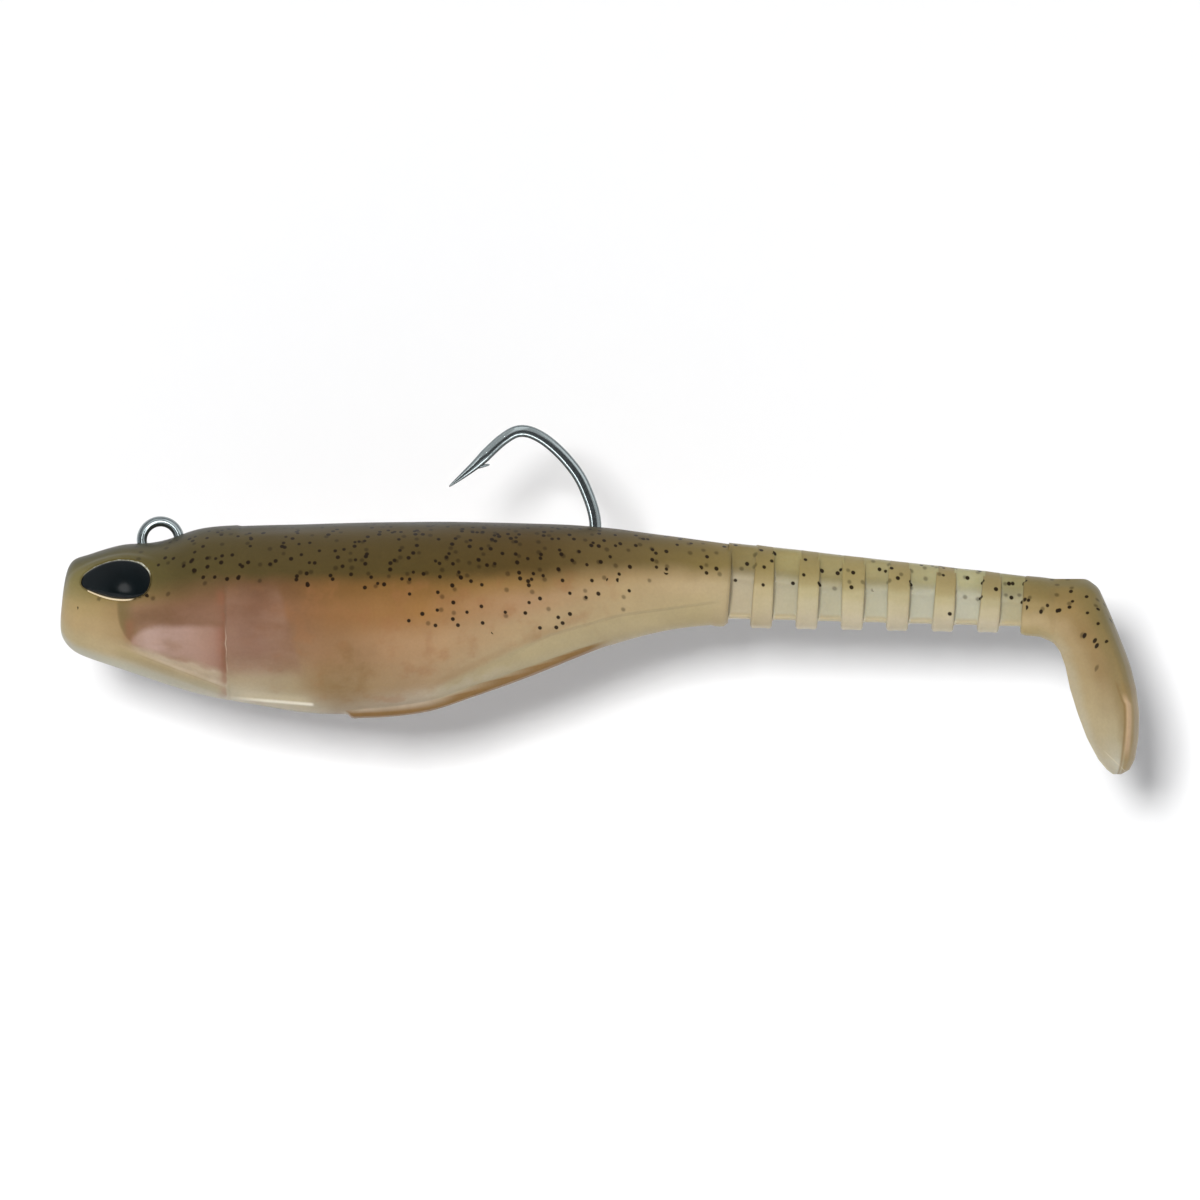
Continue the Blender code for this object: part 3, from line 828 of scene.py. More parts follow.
def under_gloss(*colour):
    """Base colour of a glossy plastic that looks like a display colour in this studio light."""
    red, green, blue, alpha = linear(*colour)
    return tuple(max(0.002, (value - GLOSS_VEIL) / LIGHT_GAIN) for value in (red, green, blue)) + (alpha,)


class Value:
    """A number worked out by nodes, with arithmetic that adds more of them."""

    def __init__(self, nodes, socket):
        self.nodes = nodes
        self.socket = socket

    def __add__(self, other):
        return self.nodes.math("ADD", self, other)

    def __sub__(self, other):
        return self.nodes.math("SUBTRACT", self, other)

    def __rsub__(self, other):
        return self.nodes.math("SUBTRACT", other, self)

    def __mul__(self, other):
        return self.nodes.math("MULTIPLY", self, other)

    def __truediv__(self, other):
        return self.nodes.math("DIVIDE", self, other)

    def __abs__(self):
        return self.nodes.math("ABSOLUTE", self)

    def scaled(self, factor, offset):
        """This value times a factor, plus an offset."""
        return self.nodes.math("MULTIPLY_ADD", self, factor, offset)

    def rise(self, low, high):
        """From 0 at low to 1 at high, with level ends."""
        inputs = {0: self, 1: low, 2: high}
        node = self.nodes.add("ShaderNodeMapRange", inputs, interpolation_type="SMOOTHSTEP")
        return Value(self.nodes, node.outputs[0])

    def band(self, low, high, soft):
        """1 between low and high, which may be values too, with soft edges."""
        return (self - low).rise(-soft, soft) * (high - self).rise(-soft, soft)


class Nodes:
    """Short ways to add nodes to a material or a world."""

    def __init__(self, tree):
        self.tree = tree

    def add(self, kind, inputs=None, **settings):
        """Add a node; an input is something to join or a value to set."""
        node = self.tree.nodes.new(kind)
        for key, value in settings.items():
            setattr(node, key, value)
        for key, value in (inputs or {}).items():
            self.set(node.inputs[key], value)
        return node

    def set(self, socket, value):
        """Join a socket to another, or give it a value."""
        if isinstance(value, Value):
            value = value.socket
        if isinstance(value, bpy.types.NodeSocket):
            self.tree.links.new(value, socket)
        else:
            socket.default_value = value

    def math(self, operation, first, second=0.0, third=0.0):
        """One step of arithmetic."""
        node = self.add("ShaderNodeMath", {0: first, 1: second, 2: third}, operation=operation)
        return Value(self, node.outputs[0])

    def split(self, vector, kind="ShaderNodeSeparateXYZ"):
        """The three numbers of a vector or a colour."""
        return [Value(self, output) for output in self.add(kind, {0: vector}).outputs]

    def noise(self, place, scale, detail):
        """Fractal noise around 0.5."""
        node = self.add("ShaderNodeTexNoise", {"Vector": place, "Scale": scale, "Detail": detail})
        return Value(self, node.outputs[0])

    def mix(self, share, first, second):
        """Mix two colours."""
        return self.add("ShaderNodeMix", {0: share, 6: first, 7: second}, data_type="RGBA").outputs[2]

    def paint(self, colour, share, *target):
        """Mix a display colour into a colour."""
        return self.mix(share, colour, under_gloss(*target))

    def ramp(self, value, low, high, stops):
        """A colour that changes along a value through (place, red, green, blue) stops."""
        share = self.add("ShaderNodeMapRange", {0: value, 1: low, 2: high}).outputs[0]
        node = self.add("ShaderNodeValToRGB", {0: share})
        elements = node.color_ramp.elements
        while len(elements) < len(stops):
            elements.new(0.5)
        for element, (place, *colour) in zip(elements, stops):
            element.position = (place - low) / (high - low)
            element.color = under_gloss(*colour)
        return node.outputs[0]

    def curve(self, value, places, heights):
        """A number that follows straight runs between places and their heights."""
        low, high = places[0], places[-1]
        share = self.add("ShaderNodeMapRange", {0: value, 1: low, 2: high}).outputs[0]
        node = self.add("ShaderNodeFloatCurve", {1: share})
        bottom, top = min(heights), max(heights)
        points = node.mapping.curves[0].points
        while len(points) < len(places):
            points.new(0.5, 0.5)
        for point, place, height in zip(points, places, heights):
            point.location = ((place - low) / (high - low), (height - bottom) / (top - bottom))
        node.mapping.update()
        return Value(self, node.outputs[0]).scaled(top - bottom, bottom)

    def blob(self, x, z, centre, radii, soft):
        """1 inside an ellipse on the side of the lure, falling to 0 outside it."""
        across = (x - centre[0]) / radii[0]
        over = (z - centre[1]) / radii[1]
        return self.math("SQRT", across * across + over * over).rise(1.0 + soft, 1.0 - soft)

    def rest_place(self):
        """The rest position, whole and as its x, y and z."""
        place = self.add("ShaderNodeAttribute", attribute_name="rest").outputs["Vector"]
        return [place] + self.split(place)

    def skin_numbers(self):
        """The three numbers of the skin."""
        return self.split(self.add("ShaderNodeAttribute", attribute_name="skin").outputs["Vector"])


class Shader(Nodes):
    """A Principled material."""

    def __init__(self, name):
        self.material = bpy.data.materials.new(name)
        self.material.use_nodes = True
        super().__init__(self.material.node_tree)
        self.principled = self.tree.nodes["Principled BSDF"]

    def surface(self, **inputs):
        """Set inputs of the Principled node, with underscores for their spaces."""
        for key, value in inputs.items():
            self.set(self.principled.inputs[key.replace("_", " ")], value)

    def bump(self, height, strength, distance):
        """Relief in the normals, with its depth in millimetres."""
        inputs = {"Strength": strength, "Distance": distance * MM, "Height": height}
        self.surface(Normal=self.add("ShaderNodeBump", inputs).outputs[0])


# What the gloss adds to every colour, and how bright a facing surface of base colour 1 looks.
GLOSS_VEIL = 0.01
LIGHT_GAIN = 0.95

# Colours along the lure: the back, and then rows down the flank, from under the back to the belly edge.
BACK_COLOURS = [
    (-13, 138, 128, 88), (-8, 108, 100, 62), (2.5, 88, 78, 50), (14, 88, 76, 49), (34, 89, 75, 46),
    (48, 90, 74, 46), (60, 108, 92, 60), (71, 128, 111, 70), (80, 149, 133, 88), (90, 158, 143, 98),
    (102, 156, 140, 98), (113, 146, 131, 90),
]
FLANK_ROWS = [
    (0.04, [
        (-13, 150, 136, 96), (-8, 148, 128, 84), (2.5, 122, 95, 68), (13, 112, 83, 62), (22, 123, 91, 57),
        (34, 131, 98, 58), (47, 148, 117, 74), (60, 160, 136, 98), (70, 170, 149, 112),
        (84, 166, 152, 110), (112, 170, 156, 116),
    ]),
    (0.25, [
        (-13, 166, 146, 104), (-8, 163, 141, 99), (-4.5, 150, 124, 88), (2.5, 134, 100, 78),
        (13, 131, 97, 76), (16.5, 134, 99, 73), (22, 141, 104, 69), (34, 152, 113, 70), (47, 169, 136, 102),
        (60, 169, 147, 110), (70, 178, 158, 123), (84, 180, 168, 130), (112, 178, 166, 130),
    ]),
    (0.52, [
        (-13, 172, 150, 110), (-8, 173, 150, 111), (-4.5, 160, 136, 98), (2.5, 152, 120, 103),
        (13, 137, 104, 86), (17, 140, 110, 84), (22, 146, 113, 82), (34, 170, 137, 102), (47, 171, 147, 112),
        (60, 171, 151, 115), (70, 174, 156, 119), (84, 187, 176, 144), (112, 186, 174, 142),
    ]),
    (0.80, [
        (-13, 176, 160, 124), (-8, 176, 158, 122), (2.5, 168, 148, 122), (9, 166, 146, 120),
        (13, 162, 143, 117), (17, 158, 138, 108), (21, 144, 120, 86), (34, 162, 136, 104),
        (47, 174, 157, 124), (60, 174, 156, 124), (70, 166, 148, 112), (84, 189, 177, 150),
        (112, 188, 177, 152),
    ]),
    (0.97, [
        (-13, 178, 174, 156), (-6, 180, 176, 156), (2.5, 174, 168, 148), (12, 192, 182, 162),
        (19, 178, 166, 142), (23, 152, 134, 108), (34, 172, 156, 134), (47, 180, 168, 142),
        (60, 166, 150, 122), (70, 160, 142, 106), (84, 188, 176, 150), (112, 184, 176, 150),
    ]),
]


def stack_rows(shader, value, rows, low, high, x):
    """Rows of colour along x, one under another, mixed by a value."""
    above, stops = rows[0]
    colour = shader.ramp(x, low, high, stops)
    for place, stops in rows[1:]:
        row = shader.ramp(x, low, high, stops)
        colour = shader.mix(value.rise(above, place), colour, row)
        above = place
    return colour


# Layers of flakes: spacing, radius, softness of the edge, strength, share drawn, and shift of the pattern.
FLAKE_LAYERS = (
    (1.9, 0.26, 0.07, 0.98, 0.85, 0.0),
    (1.5, 0.25, 0.07, 0.96, 0.3, 31.7),
    (1.7, 0.28, 0.15, 0.5, 0.6, 67.3),
)
FLAKE_COLOUR = (34, 22, 9)


def add_flakes(shader, x, around, height, girth_falls, chance_at, colour):
    """Dark flakes in the plastic: sharp ones near the surface and blurred ones deeper.

    The chance of a flake is taken at its own middle, so every flake is whole.  girth_falls says that the
    distance round the skin grows downwards, on both sides.
    """
    place = shader.add("ShaderNodeCombineXYZ", {0: x, 1: around}).outputs[0]
    for cell, size, soft, strength, share, shift in FLAKE_LAYERS:
        moved = shader.add("ShaderNodeVectorMath", {0: place, 1: (shift, shift, 0.0)}).outputs[0]
        cells = shader.add("ShaderNodeTexVoronoi", {"Vector": moved, "Scale": 1.0 / cell, "Randomness": 0.86},
                           voronoi_dimensions="2D")
        centre = shader.split(cells.outputs["Position"])
        centre_x = centre[0] - shift
        centre_around = centre[1] - shift
        lift = abs(around) - abs(centre_around) if girth_falls else centre_around - around
        middle = shader.add("ShaderNodeCombineXYZ", {0: centre_x, 1: centre_around}).outputs[0]
        clump = shader.noise(middle, 0.3, 1.0).rise(0.38, 0.62)
        chance = chance_at(centre_x, height + lift) * clump.scaled(1.3, 0.35)
        distance = Value(shader, cells.outputs["Distance"]) * cell
        lots = shader.split(cells.outputs["Color"], "ShaderNodeSeparateColor")
        dot = (distance - lots[1].scaled(0.07, size - 0.04)).rise(soft, -soft)
        drawn = shader.math("LESS_THAN", lots[0], chance * share)
        colour = shader.mix(dot * drawn * strength, colour, linear(*FLAKE_COLOUR))
    return colour


def finish_plastic(shader, place, colour, weight, roughness):
    """Gloss, translucency and the fine unevenness of cast plastic."""
    wide = shader.noise(place, 0.22, 3.0)
    fine = shader.noise(place, 2.6, 4.0)
    tone = wide.scaled(0.24, 0.88) * fine.scaled(0.16, 0.92)
    triple = shader.add("ShaderNodeCombineXYZ", {0: tone, 1: tone, 2: tone}).outputs[0]
    tinted = shader.add("ShaderNodeVectorMath", {0: colour, 1: triple}, operation="MULTIPLY").outputs[0]
    shader.surface(Base_Color=tinted, Roughness=wide.scaled(0.16, roughness - 0.08), IOR=1.42,
                   Specular_IOR_Level=0.3, Subsurface_Weight=weight, Subsurface_Radius=(1.0, 0.7, 0.4),
                   Subsurface_Scale=1.2 * MM)
    shader.bump(fine, 0.3, 0.05)


# Colours of the mauve patch along x; its paler stops round x -1.5 are partly a painted broad highlight on the
# cheek.
CHEEK_COLOURS_AND_HIGHLIGHT = [
    (-4, 166, 136, 118), (-1.5, 178, 151, 138), (2.5, 172, 143, 130), (5.5, 164, 132, 116),
    (9, 146, 108, 90),
]


def add_ballast_look(shader, place, x, z, colour):
    """The ballast seen through the cheek: mauve patches, partly a painted highlight, bounded by the gill and
    a greenish edge.
    """
    streaks = shader.add("ShaderNodeMapping", {"Vector": place, "Scale": (0.2, 0.45, 0.42)}).outputs[0]
    cloud = shader.noise(streaks, 1.0, 4.0)
    behind_front = x - shader.curve(z, (-17, -13.5, -12, -10.3, -8, -5), (-0.5, -3.4, -4.6, -5.2, -5.3, -4.8))
    ragged = shader.noise(place, 0.35, 4.0).scaled(1.2, -0.6)
    floor = (x + 3.0).scaled(-0.27, -13.9) + ragged
    cheek = behind_front.rise(-0.3, 1.0) * (z - floor).rise(-0.5, 0.2) * x.rise(9.1, 8.5) * z.rise(-7.0, -9.8)
    red = shader.mix(cloud.rise(0.25, 0.75), under_gloss(118, 89, 67), under_gloss(136, 104, 84))
    colour = shader.mix(cheek * 0.8, colour, red)

    rim = behind_front.rise(-0.25, 0.25) * behind_front.rise(2.6, 0.6)
    rim = rim * z.rise(-14.5, -12.5) * z.rise(-6.4, -8.4)
    colour = shader.paint(colour, rim * 0.8, 118, 102, 68)

    ceiling = shader.curve(x, (-4.5, -3.2, -1.2, 2.4, 8.6), (-13.4, -12.5, -11.5, -11.2, -11.4))
    # The mauve patch over the ballast, whose paler middle is partly a painted broad highlight.
    patch = z.band(floor, ceiling + ragged * 0.6, 0.55) * x.band(-3.6, 8.3, 0.35)
    mauve = shader.mix(cloud.rise(0.2, 0.6), under_gloss(156, 126, 108), shader.ramp(x, -4, 9, CHEEK_COLOURS_AND_HIGHLIGHT))
    colour = shader.mix(patch * 0.92, colour, mauve)
    lining = z.band(floor - 0.3, floor, 0.25) * x.band(0.5, 8.3, 2.0)
    colour = shader.paint(colour, lining * 0.6, 140, 96, 76)
    flush = x.band(-4.4, -3.2, 0.6) * z.band(-13.2, -10.4, 0.8)
    colour = shader.paint(colour, flush * 0.5, 146, 98, 78)
    depth = shader.curve(x, (-4, 0, 4, 8.5), (0.7, 1.2, 1.8, 2.2))
    cream = z.band(floor - depth, floor, 0.5) * x.band(-3.4, 8.2, 1.2)
    cream = cream * cloud.rise(0.3, 0.65).scaled(0.4, 0.3)
    colour = shader.paint(colour, cream, 192, 176, 154)

    jaw = (x + 3.9).scaled(-0.385, -14.4)
    fold = z.band(jaw - 1.25, jaw, 0.35) * x.band(-5.5, 8.4, 1.2)
    colour = shader.paint(colour, fold * 0.45, 156, 141, 100)
    # Painted shade along the jaw crease.
    crease = z.band(jaw - 0.1, jaw, 0.12) * x.band(-2.5, 8.2, 1.0)
    colour = shader.paint(colour, crease * 0.35, 120, 100, 62)
    return add_gill_look(shader, place, x, z, cloud, ragged, colour)


def add_gill_look(shader, place, x, z, cloud, ragged, colour):
    """Painted shade along the gill's edge and a painted highlight on it, and the lead behind it, up to a soft
    slanting edge.
    """
    waver = shader.noise(place, 0.5, 1.0)
    gill = x - waver.scaled(0.5, (z + 12.0).scaled(-0.012, 8.2))
    shade = gill.rise(-1.5, 0.0) * gill.rise(0.35, 0.0) * z.band(-20.8, -6.2, 0.8) * waver.rise(0.2, 0.6)
    colour = shader.paint(colour, shade * 0.5, 140, 92, 72)
    # Painted highlight: a thin pale line along the gill's edge.
    gill_highlight = gill.band(0.22, 0.28, 0.08) * z.band(-17.0, -12.0, 1.2) * cloud.rise(0.35, 0.6).scaled(0.6, 0.25)
    colour = shader.paint(colour, gill_highlight, 224, 204, 182)

    past_edge = ragged.scaled(0.5, x) - (z + 6.4).scaled(-0.27, 15.6)
    behind = gill.rise(0.1, 0.5)
    lead = z.rise(-5.2, -8.4) * (z + ragged).rise(-18.6, -16.2) * behind * past_edge.rise(0.6, -0.5)
    tint = shader.mix(cloud.rise(0.25, 0.7), under_gloss(128, 95, 76), under_gloss(147, 117, 99))
    colour = shader.mix(lead * 0.5, colour, tint)
    belly = (z + ragged).rise(-16.6, -18.6) * behind * past_edge.rise(0.8, -2.6)
    return shader.paint(colour, belly * 0.42, 170, 156, 126)


def add_flank_marks(shader, x, z, above, cloud, flank):
    """Marks, painted shade and painted highlights low on the flank: under the fold, on the belly ridge, at
    the rear end and along the belly.
    """
    under = shader.curve(x, (33, 36, 43, 50.5, 59.6, 72), (-21.5, -19.2, -15.7, -12.4, -9.7, -8.0)) - z
    wedge = under.band(0.1, 3.6, 0.5) * x.band(36.0, 71.6, 1.5)
    flank = shader.paint(flank, wedge * 0.5, 174, 160, 122)
    # Painted shade along the fold, under the edge of the flank.
    fold_shade = under.band(-0.9, -0.05, 0.35) * x.band(35.0, 52.0, 3.0)
    flank = shader.paint(flank, fold_shade * 0.3, 150, 120, 84)

    ridge = (x - 10.2).scaled(-0.082, -20.4)
    # Painted highlights on the belly ridge: a soft pale halo and a bright line.
    ridge_highlight_halo = z.band(ridge - 0.5, ridge + 0.7, 0.5) * x.band(10.5, 19.0, 1.2)
    flank = shader.paint(flank, ridge_highlight_halo * 0.35, 206, 192, 160)
    ridge_highlight = z.band(ridge - 0.36, ridge, 0.14) * x.rise(7.5, 15.0) * x.rise(20.2, 19.7)
    flank = shader.paint(flank, ridge_highlight * 0.9, 236, 228, 208)
    rear = x.rise(BODY_REAR - 1.5, BODY_REAR - 0.7) * x.rise(BODY_REAR + 0.6, BODY_REAR + 0.3)
    flank = shader.paint(flank, rear * 0.5, 176, 158, 122)
    foot = above.rise(0.55, 0.1) * x.rise(BODY_REAR + 1.0, BODY_REAR + 2.0)
    flank = shader.paint(flank, foot * 0.5, 208, 196, 172)
    # Painted highlight along the flank's thin lower edge, which catches the light and lets it through.
    lower_edge_highlight = above.band(-0.1, 0.5, 0.25) * x.band(24.5, 52.0, 1.5) * cloud.rise(0.35, 0.6).scaled(0.3, 0.35)
    flank = shader.paint(flank, lower_edge_highlight, 206, 190, 168)
    outline = above.rise(0.22, 0.05) * x.band(12.0, 24.5, 1.5)
    flank = shader.paint(flank, outline * 0.5, 120, 112, 92)
    # Painted sheen, mottled, low on the flank above the belly.
    belly_sheen = above.band(0.4, 2.2, 0.7) * x.band(33.0, 45.0, 4.0) * cloud.rise(0.35, 0.6)
    flank = shader.paint(flank, belly_sheen * 0.5, 184, 174, 152)
    return flank


def plastisol():
    """Two-tone plastic: olive back over a tan flank, mauve where the lead shows through, with painted light
    and shade.
    """
    shader = Shader("plastisol")
    place, x, _, z = shader.rest_place()
    around, above, keel = shader.skin_numbers()
    line = shader.curve(x, (-13, -2, 6, 14, 30, 50, 60, 70, 78, 90, 102, 113),
                        (-6.1, -6.8, -5.7, -5.2, -5.2, -4.85, -3.9, -4.2, -4.8, -5.5, -6.5, -7.0))
    wobble = shader.noise(place, 0.25, 2.0)
    height = z - line + wobble.scaled(1.2, -0.6)
    depth = height * -1.0
    share = depth / shader.math("MAXIMUM", depth + above, 0.1)
    back = shader.ramp(x, -13, 127, BACK_COLOURS)
    # Painted shade: darker along the crest of the back, to offset the sheen that the light lays there.
    spine = abs(around).rise(6.0, 2.0) * x.rise(80.0, 40.0)
    back = shader.paint(back, spine * 0.7, 43, 47, 36)
    flank = stack_rows(shader, share, FLANK_ROWS, -13, 113, x)

    cloud = shader.noise(place, 0.35, 3.0)
    warm = cloud.rise(0.5, 0.7) * x.band(10.0, 58.0, 6.0)
    flank = shader.paint(flank, warm * 0.35, 150, 106, 72)

    blotch = shader.blob(x, z, (24.8, -17.4), (3.2, 4.2), 0.6) * cloud.rise(0.35, 0.65).scaled(0.4, 0.12)
    flank = shader.paint(flank, blotch, 124, 98, 64)
    flank = add_ballast_look(shader, place, x, z, flank)

    flank = add_flank_marks(shader, x, z, above, cloud, flank)
    flank = shader.paint(flank, keel * 0.95, 131, 100, 60)

    softness = shader.curve(x, (-13, 0, 7, 13, 34, 48, 60, 82, 113),
                            (2.0, 2.2, 1.9, 1.15, 1.2, 1.6, 1.5, 1.4, 1.5))
    colour = shader.mix((height / softness).rise(-0.9, 1.0), flank, back)

    def chance_at(flake_x, flake_height):
        density = shader.curve(flake_x, (-13, -10.5, -8, -3, 1, 12, 66, 74, 84, 110, 113),
                               (0.0, 0.04, 0.16, 0.4, 0.55, 0.6, 0.62, 0.5, 0.5, 0.4, 0.3))
        upper = flake_height.rise(-2.0, 0.6) * density
        middle = flake_height.rise(-7.2, -5.6) * flake_x.band(30.0, 60.0, 4.0)
        stray = flake_height.rise(-5.0, -1.0) * (density * 0.12)
        return middle.scaled(0.36, upper) + stray

    colour = add_flakes(shader, x, around, height, True, chance_at, colour)
    finish_plastic(shader, place, colour, 0.15, 0.42)
    return shader.material


def web_plastic():
    """The thin core in the grooves: olive flange, and a web so thin that light comes through."""
    shader = Shader("web_plastic")
    place, x, _, z = shader.rest_place()
    around, above, behind = shader.skin_numbers()
    height = z - shader.curve(x, (75, 81, 87, 99, 111), (-4.2, -4.75, -5.6, -6.1, -7.0))
    web = shader.ramp(x, 74, 112, [
        (74, 184, 172, 146), (82, 183, 176, 151), (92, 183, 179, 156), (100, 184, 182, 163),
        (106, 185, 182, 162), (110.5, 175, 167, 137),
    ])
    olive = shader.ramp(x, 74, 112, [
        (74, 134, 119, 80), (82, 160, 148, 104), (90, 160, 148, 106), (105, 173, 168, 131),
        (111, 150, 142, 103),
    ])
    colour = shader.mix(height.rise(-1.0, 0.9), web, olive)
    colour = shader.paint(colour, above.rise(1.0, 0.5) * 0.7, 184, 170, 138)

    # Light scattered into the corner behind each rib.
    corner = behind.rise(0.38, 0.08) * height.rise(1.5, -1.0)
    colour = shader.paint(colour, corner * 0.5, 226, 219, 196)

    def chance_at(flake_x, flake_height):
        return flake_height.rise(-2.5, 0.3) * 0.5

    colour = add_flakes(shader, x, around, height, True, chance_at, colour)
    finish_plastic(shader, place, colour, 0.3, 0.38)
    return shader.material


BOOT_ROWS = [
    (0.02, [(0, 163, 145, 98), (0.35, 176, 160, 128), (1, 188, 184, 164)]),
    (0.22, [
        (0, 178, 158, 120), (0.35, 168, 146, 108), (0.5, 168, 148, 110), (0.66, 178, 163, 130),
        (0.78, 183, 173, 148), (1, 184, 176, 152),
    ]),
    (0.50, [
        (0, 158, 139, 98), (0.2, 152, 132, 90), (0.35, 146, 122, 82), (0.5, 152, 129, 91),
        (0.66, 176, 162, 129), (0.78, 187, 181, 160), (1, 188, 184, 166),
    ]),
    (0.74, [(0, 136, 119, 78), (0.35, 132, 115, 76), (0.6, 148, 129, 92), (1, 176, 165, 136)]),
    (0.96, [(0, 131, 117, 74), (0.35, 124, 114, 82), (0.6, 140, 124, 88), (1, 170, 157, 124)]),
]


def boot_plastic():
    """Boot and paddle: olive along the top and rear edge, tan and paler towards the front edge."""
    shader = Shader("boot_plastic")
    place, x, _, z = shader.rest_place()
    around, along, across = shader.skin_numbers()
    share = across + shader.noise(place, 0.3, 2.0).scaled(0.16, -0.08)
    colour = stack_rows(shader, share, BOOT_ROWS, 0.0, 1.0, along)
    heel = shader.blob(x, z, (117.4, -9.0), (1.9, 2.6), 0.7)
    colour = shader.paint(colour, heel * 0.12, 160, 118, 74)

    beyond = x - shader.curve(z, (-31, -27.5, -21.7, -20.9, -18.4, -16),
                              (124.5, 125.1, 125.3, 125.0, 124.2, 123.6))
    low = z.rise(-19.6, -21.2)
    corner = z.band(-21.0, -18.6, 0.7) * beyond.rise(-0.2, 0.2)
    colour = shader.paint(colour, corner * 0.6, 146, 124, 84)
    strip = beyond.rise(0.1, 0.4) * low
    colour = shader.paint(colour, strip * 0.85, 156, 135, 94)
    # A pale pink strip behind the rim, partly a painted highlight on the rounded rear face.
    pink_highlight_strip = beyond.band(0.12, 0.8, 0.2) * low * z.rise(-29.0, -26.5)
    colour = shader.paint(colour, pink_highlight_strip * 0.85, 190, 162, 130)
    tip = z - (x - 122.8).scaled(-0.96, -27.5)
    hairline = tip.band(-0.07, 0.07, 0.08) * x.band(122.9, 125.5, 0.5)
    colour = shader.paint(colour, hairline * 0.6, 214, 204, 176)
    # Painted shade: a dark line along the rim.
    edge = beyond.band(-0.2, 0.08, 0.15) * z.rise(-17.9, -19.0)
    colour = shader.paint(colour, edge * 0.7, 138, 114, 76)

    leaning = (x - 112.0).scaled(0.9, z)

    def chance_at(flake_x, flake_height):
        return flake_height.rise(-9.2, -7.6) * flake_x.rise(125.0, 122.5) * 0.36

    colour = add_flakes(shader, x, around, leaning, False, chance_at, colour)
    finish_plastic(shader, place, colour, 0.15, 0.42)
    return shader.material


def hook_steel():
    """Dark polished nickel with fine mottling along the wire, and a painted dark reflection inside the bend.
    """
    shader = Shader("hook_steel")
    place, x, _, _ = shader.rest_place()
    inner = shader.skin_numbers()[0]
    streak = shader.noise(place, 3.0, 5.0)
    colour = shader.mix(streak, linear(126, 136, 139), linear(150, 158, 158))
    # Painted dark reflection along the inner edge of the wire.
    colour = shader.mix(inner.rise(0.84, 0.95) * 0.8, colour, linear(66, 58, 50))
    point = x.rise(41.5, 37.0) * x.rise(30.0, 32.0)
    colour = shader.mix(point * 0.75, colour, linear(62, 66, 66))
    shader.surface(Base_Color=colour, Roughness=streak.scaled(0.12, 0.03), Metallic=streak.scaled(0.4, 0.68))
    shader.bump(streak, 0.15, 0.02)
    return shader.material


def eye_resin():
    """Near-black resin with a wet gloss."""
    shader = Shader("eye_resin")
    cloud = shader.noise(shader.rest_place()[0], 0.5, 2.0)
    colour = shader.mix(cloud, linear(6, 11, 12), linear(16, 24, 27))
    shader.surface(Base_Color=colour, Roughness=cloud.scaled(0.12, 0.12), IOR=1.4)
    return shader.material


def eye_foil():
    """Foil edge: cream along the bottom of the eye, broken and paler over it, with a fine grain."""
    shader = Shader("eye_foil")
    low, high, _ = shader.skin_numbers()
    grain = shader.noise(shader.rest_place()[0], 6.0, 3.0)
    pale = shader.mix(grain.rise(0.35, 0.6), linear(150, 142, 108), linear(226, 226, 212))
    plain = shader.mix(high, linear(128, 112, 72), pale)
    colour = shader.mix(low, plain, shader.mix(grain, linear(240, 214, 168), linear(255, 240, 208)))
    shader.surface(Base_Color=colour, Roughness=grain.scaled(0.2, 0.2), Metallic=0.15)
    return shader.material


def cast_lead():
    """Dull grey lead with casting marks; it is sealed in the plastic."""
    shader = Shader("cast_lead")
    place = shader.add("ShaderNodeTexCoord").outputs["Object"]
    marks = shader.noise(place, 900.0, 4.0)
    colour = shader.mix(marks, linear(88, 90, 96), linear(138, 140, 146))
    shader.surface(Base_Color=colour, Roughness=marks.scaled(0.3, 0.45), Metallic=0.8)
    return shader.material


def sheet_white(name, grey):
    """A white sheet that is seen from its front only."""
    shader = Shader(name)
    shader.surface(Base_Color=(grey, grey, grey, 1.0), Roughness=1.0, Specular_IOR_Level=0.0)
    behind = shader.add("ShaderNodeNewGeometry").outputs["Backfacing"]
    clear = shader.add("ShaderNodeBsdfTransparent").outputs[0]
    choice = shader.add("ShaderNodeMixShader", {0: behind, 1: shader.principled.outputs[0], 2: clear})
    shader.set(shader.tree.nodes["Material Output"].inputs["Surface"], choice.outputs[0])
    return shader.material


# ---------------------------------------------------------------- stage


VIEW_WIDTH = 156.2
VIEW_CENTRE = (57.2, -7.8)
CAMERA_AWAY = 1600.0
CARD_Y = 48.0
FLOOR_Z = -100.0
SHEET_REACH = 700.0

# Lights, with distances and sizes in millimetres and powers in watts.
LIGHT_AWAY = 3000.0
KEY_AIM = (-0.11, -1.0, 0.1)
KEY_SIZE = 350.0
KEY_POWER = 66.0
GLINT_SIZE = 980.0
GLINT_POWER = 4.6
BEND_AWAY = 130.0

# Brightness of the studio, and the shares of it that are left in front, above and below.
WORLD_STRENGTH = 0.4
WORLD_FRONT = 0.15
WORLD_ABOVE = 1.0
WORLD_BELOW = 0.9


def flat_sheet(name, corners, material):
    """A flat piece of the stage."""
    mesh = bpy.data.meshes.new(name)
    mesh.from_pydata([Vector(corner) * MM for corner in corners], [], [(0, 1, 2, 3)])
    mesh.materials.append(material)
    sheet = bpy.data.objects.new(name, mesh)
    bpy.context.scene.collection.objects.link(sheet)


def add_light(name, place, target, size, power, shape="SQUARE"):
    """A soft flat light that the camera doesn't see."""
    lamp = bpy.data.lights.new(name, "AREA")
    lamp.shape = shape
    lamp.size = size * MM
    lamp.energy = power
    light = bpy.data.objects.new(name, lamp)
    light.location = Vector(place) * MM
    light.rotation_mode = "QUATERNION"
    light.rotation_quaternion = (Vector(target) - Vector(place)).to_track_quat("-Z", "Y")
    light.visible_camera = False
    bpy.context.scene.collection.objects.link(light)
    return light


def only_reflected(light, pieces):
    """Let a light show only as a reflection, and only in these pieces."""
    light.visible_diffuse = False
    light.visible_transmission = False
    receivers = bpy.data.collections.new(light.name + "_receivers")
    for piece in pieces:
        receivers.objects.link(piece)
    light.light_linking.receiver_collection = receivers


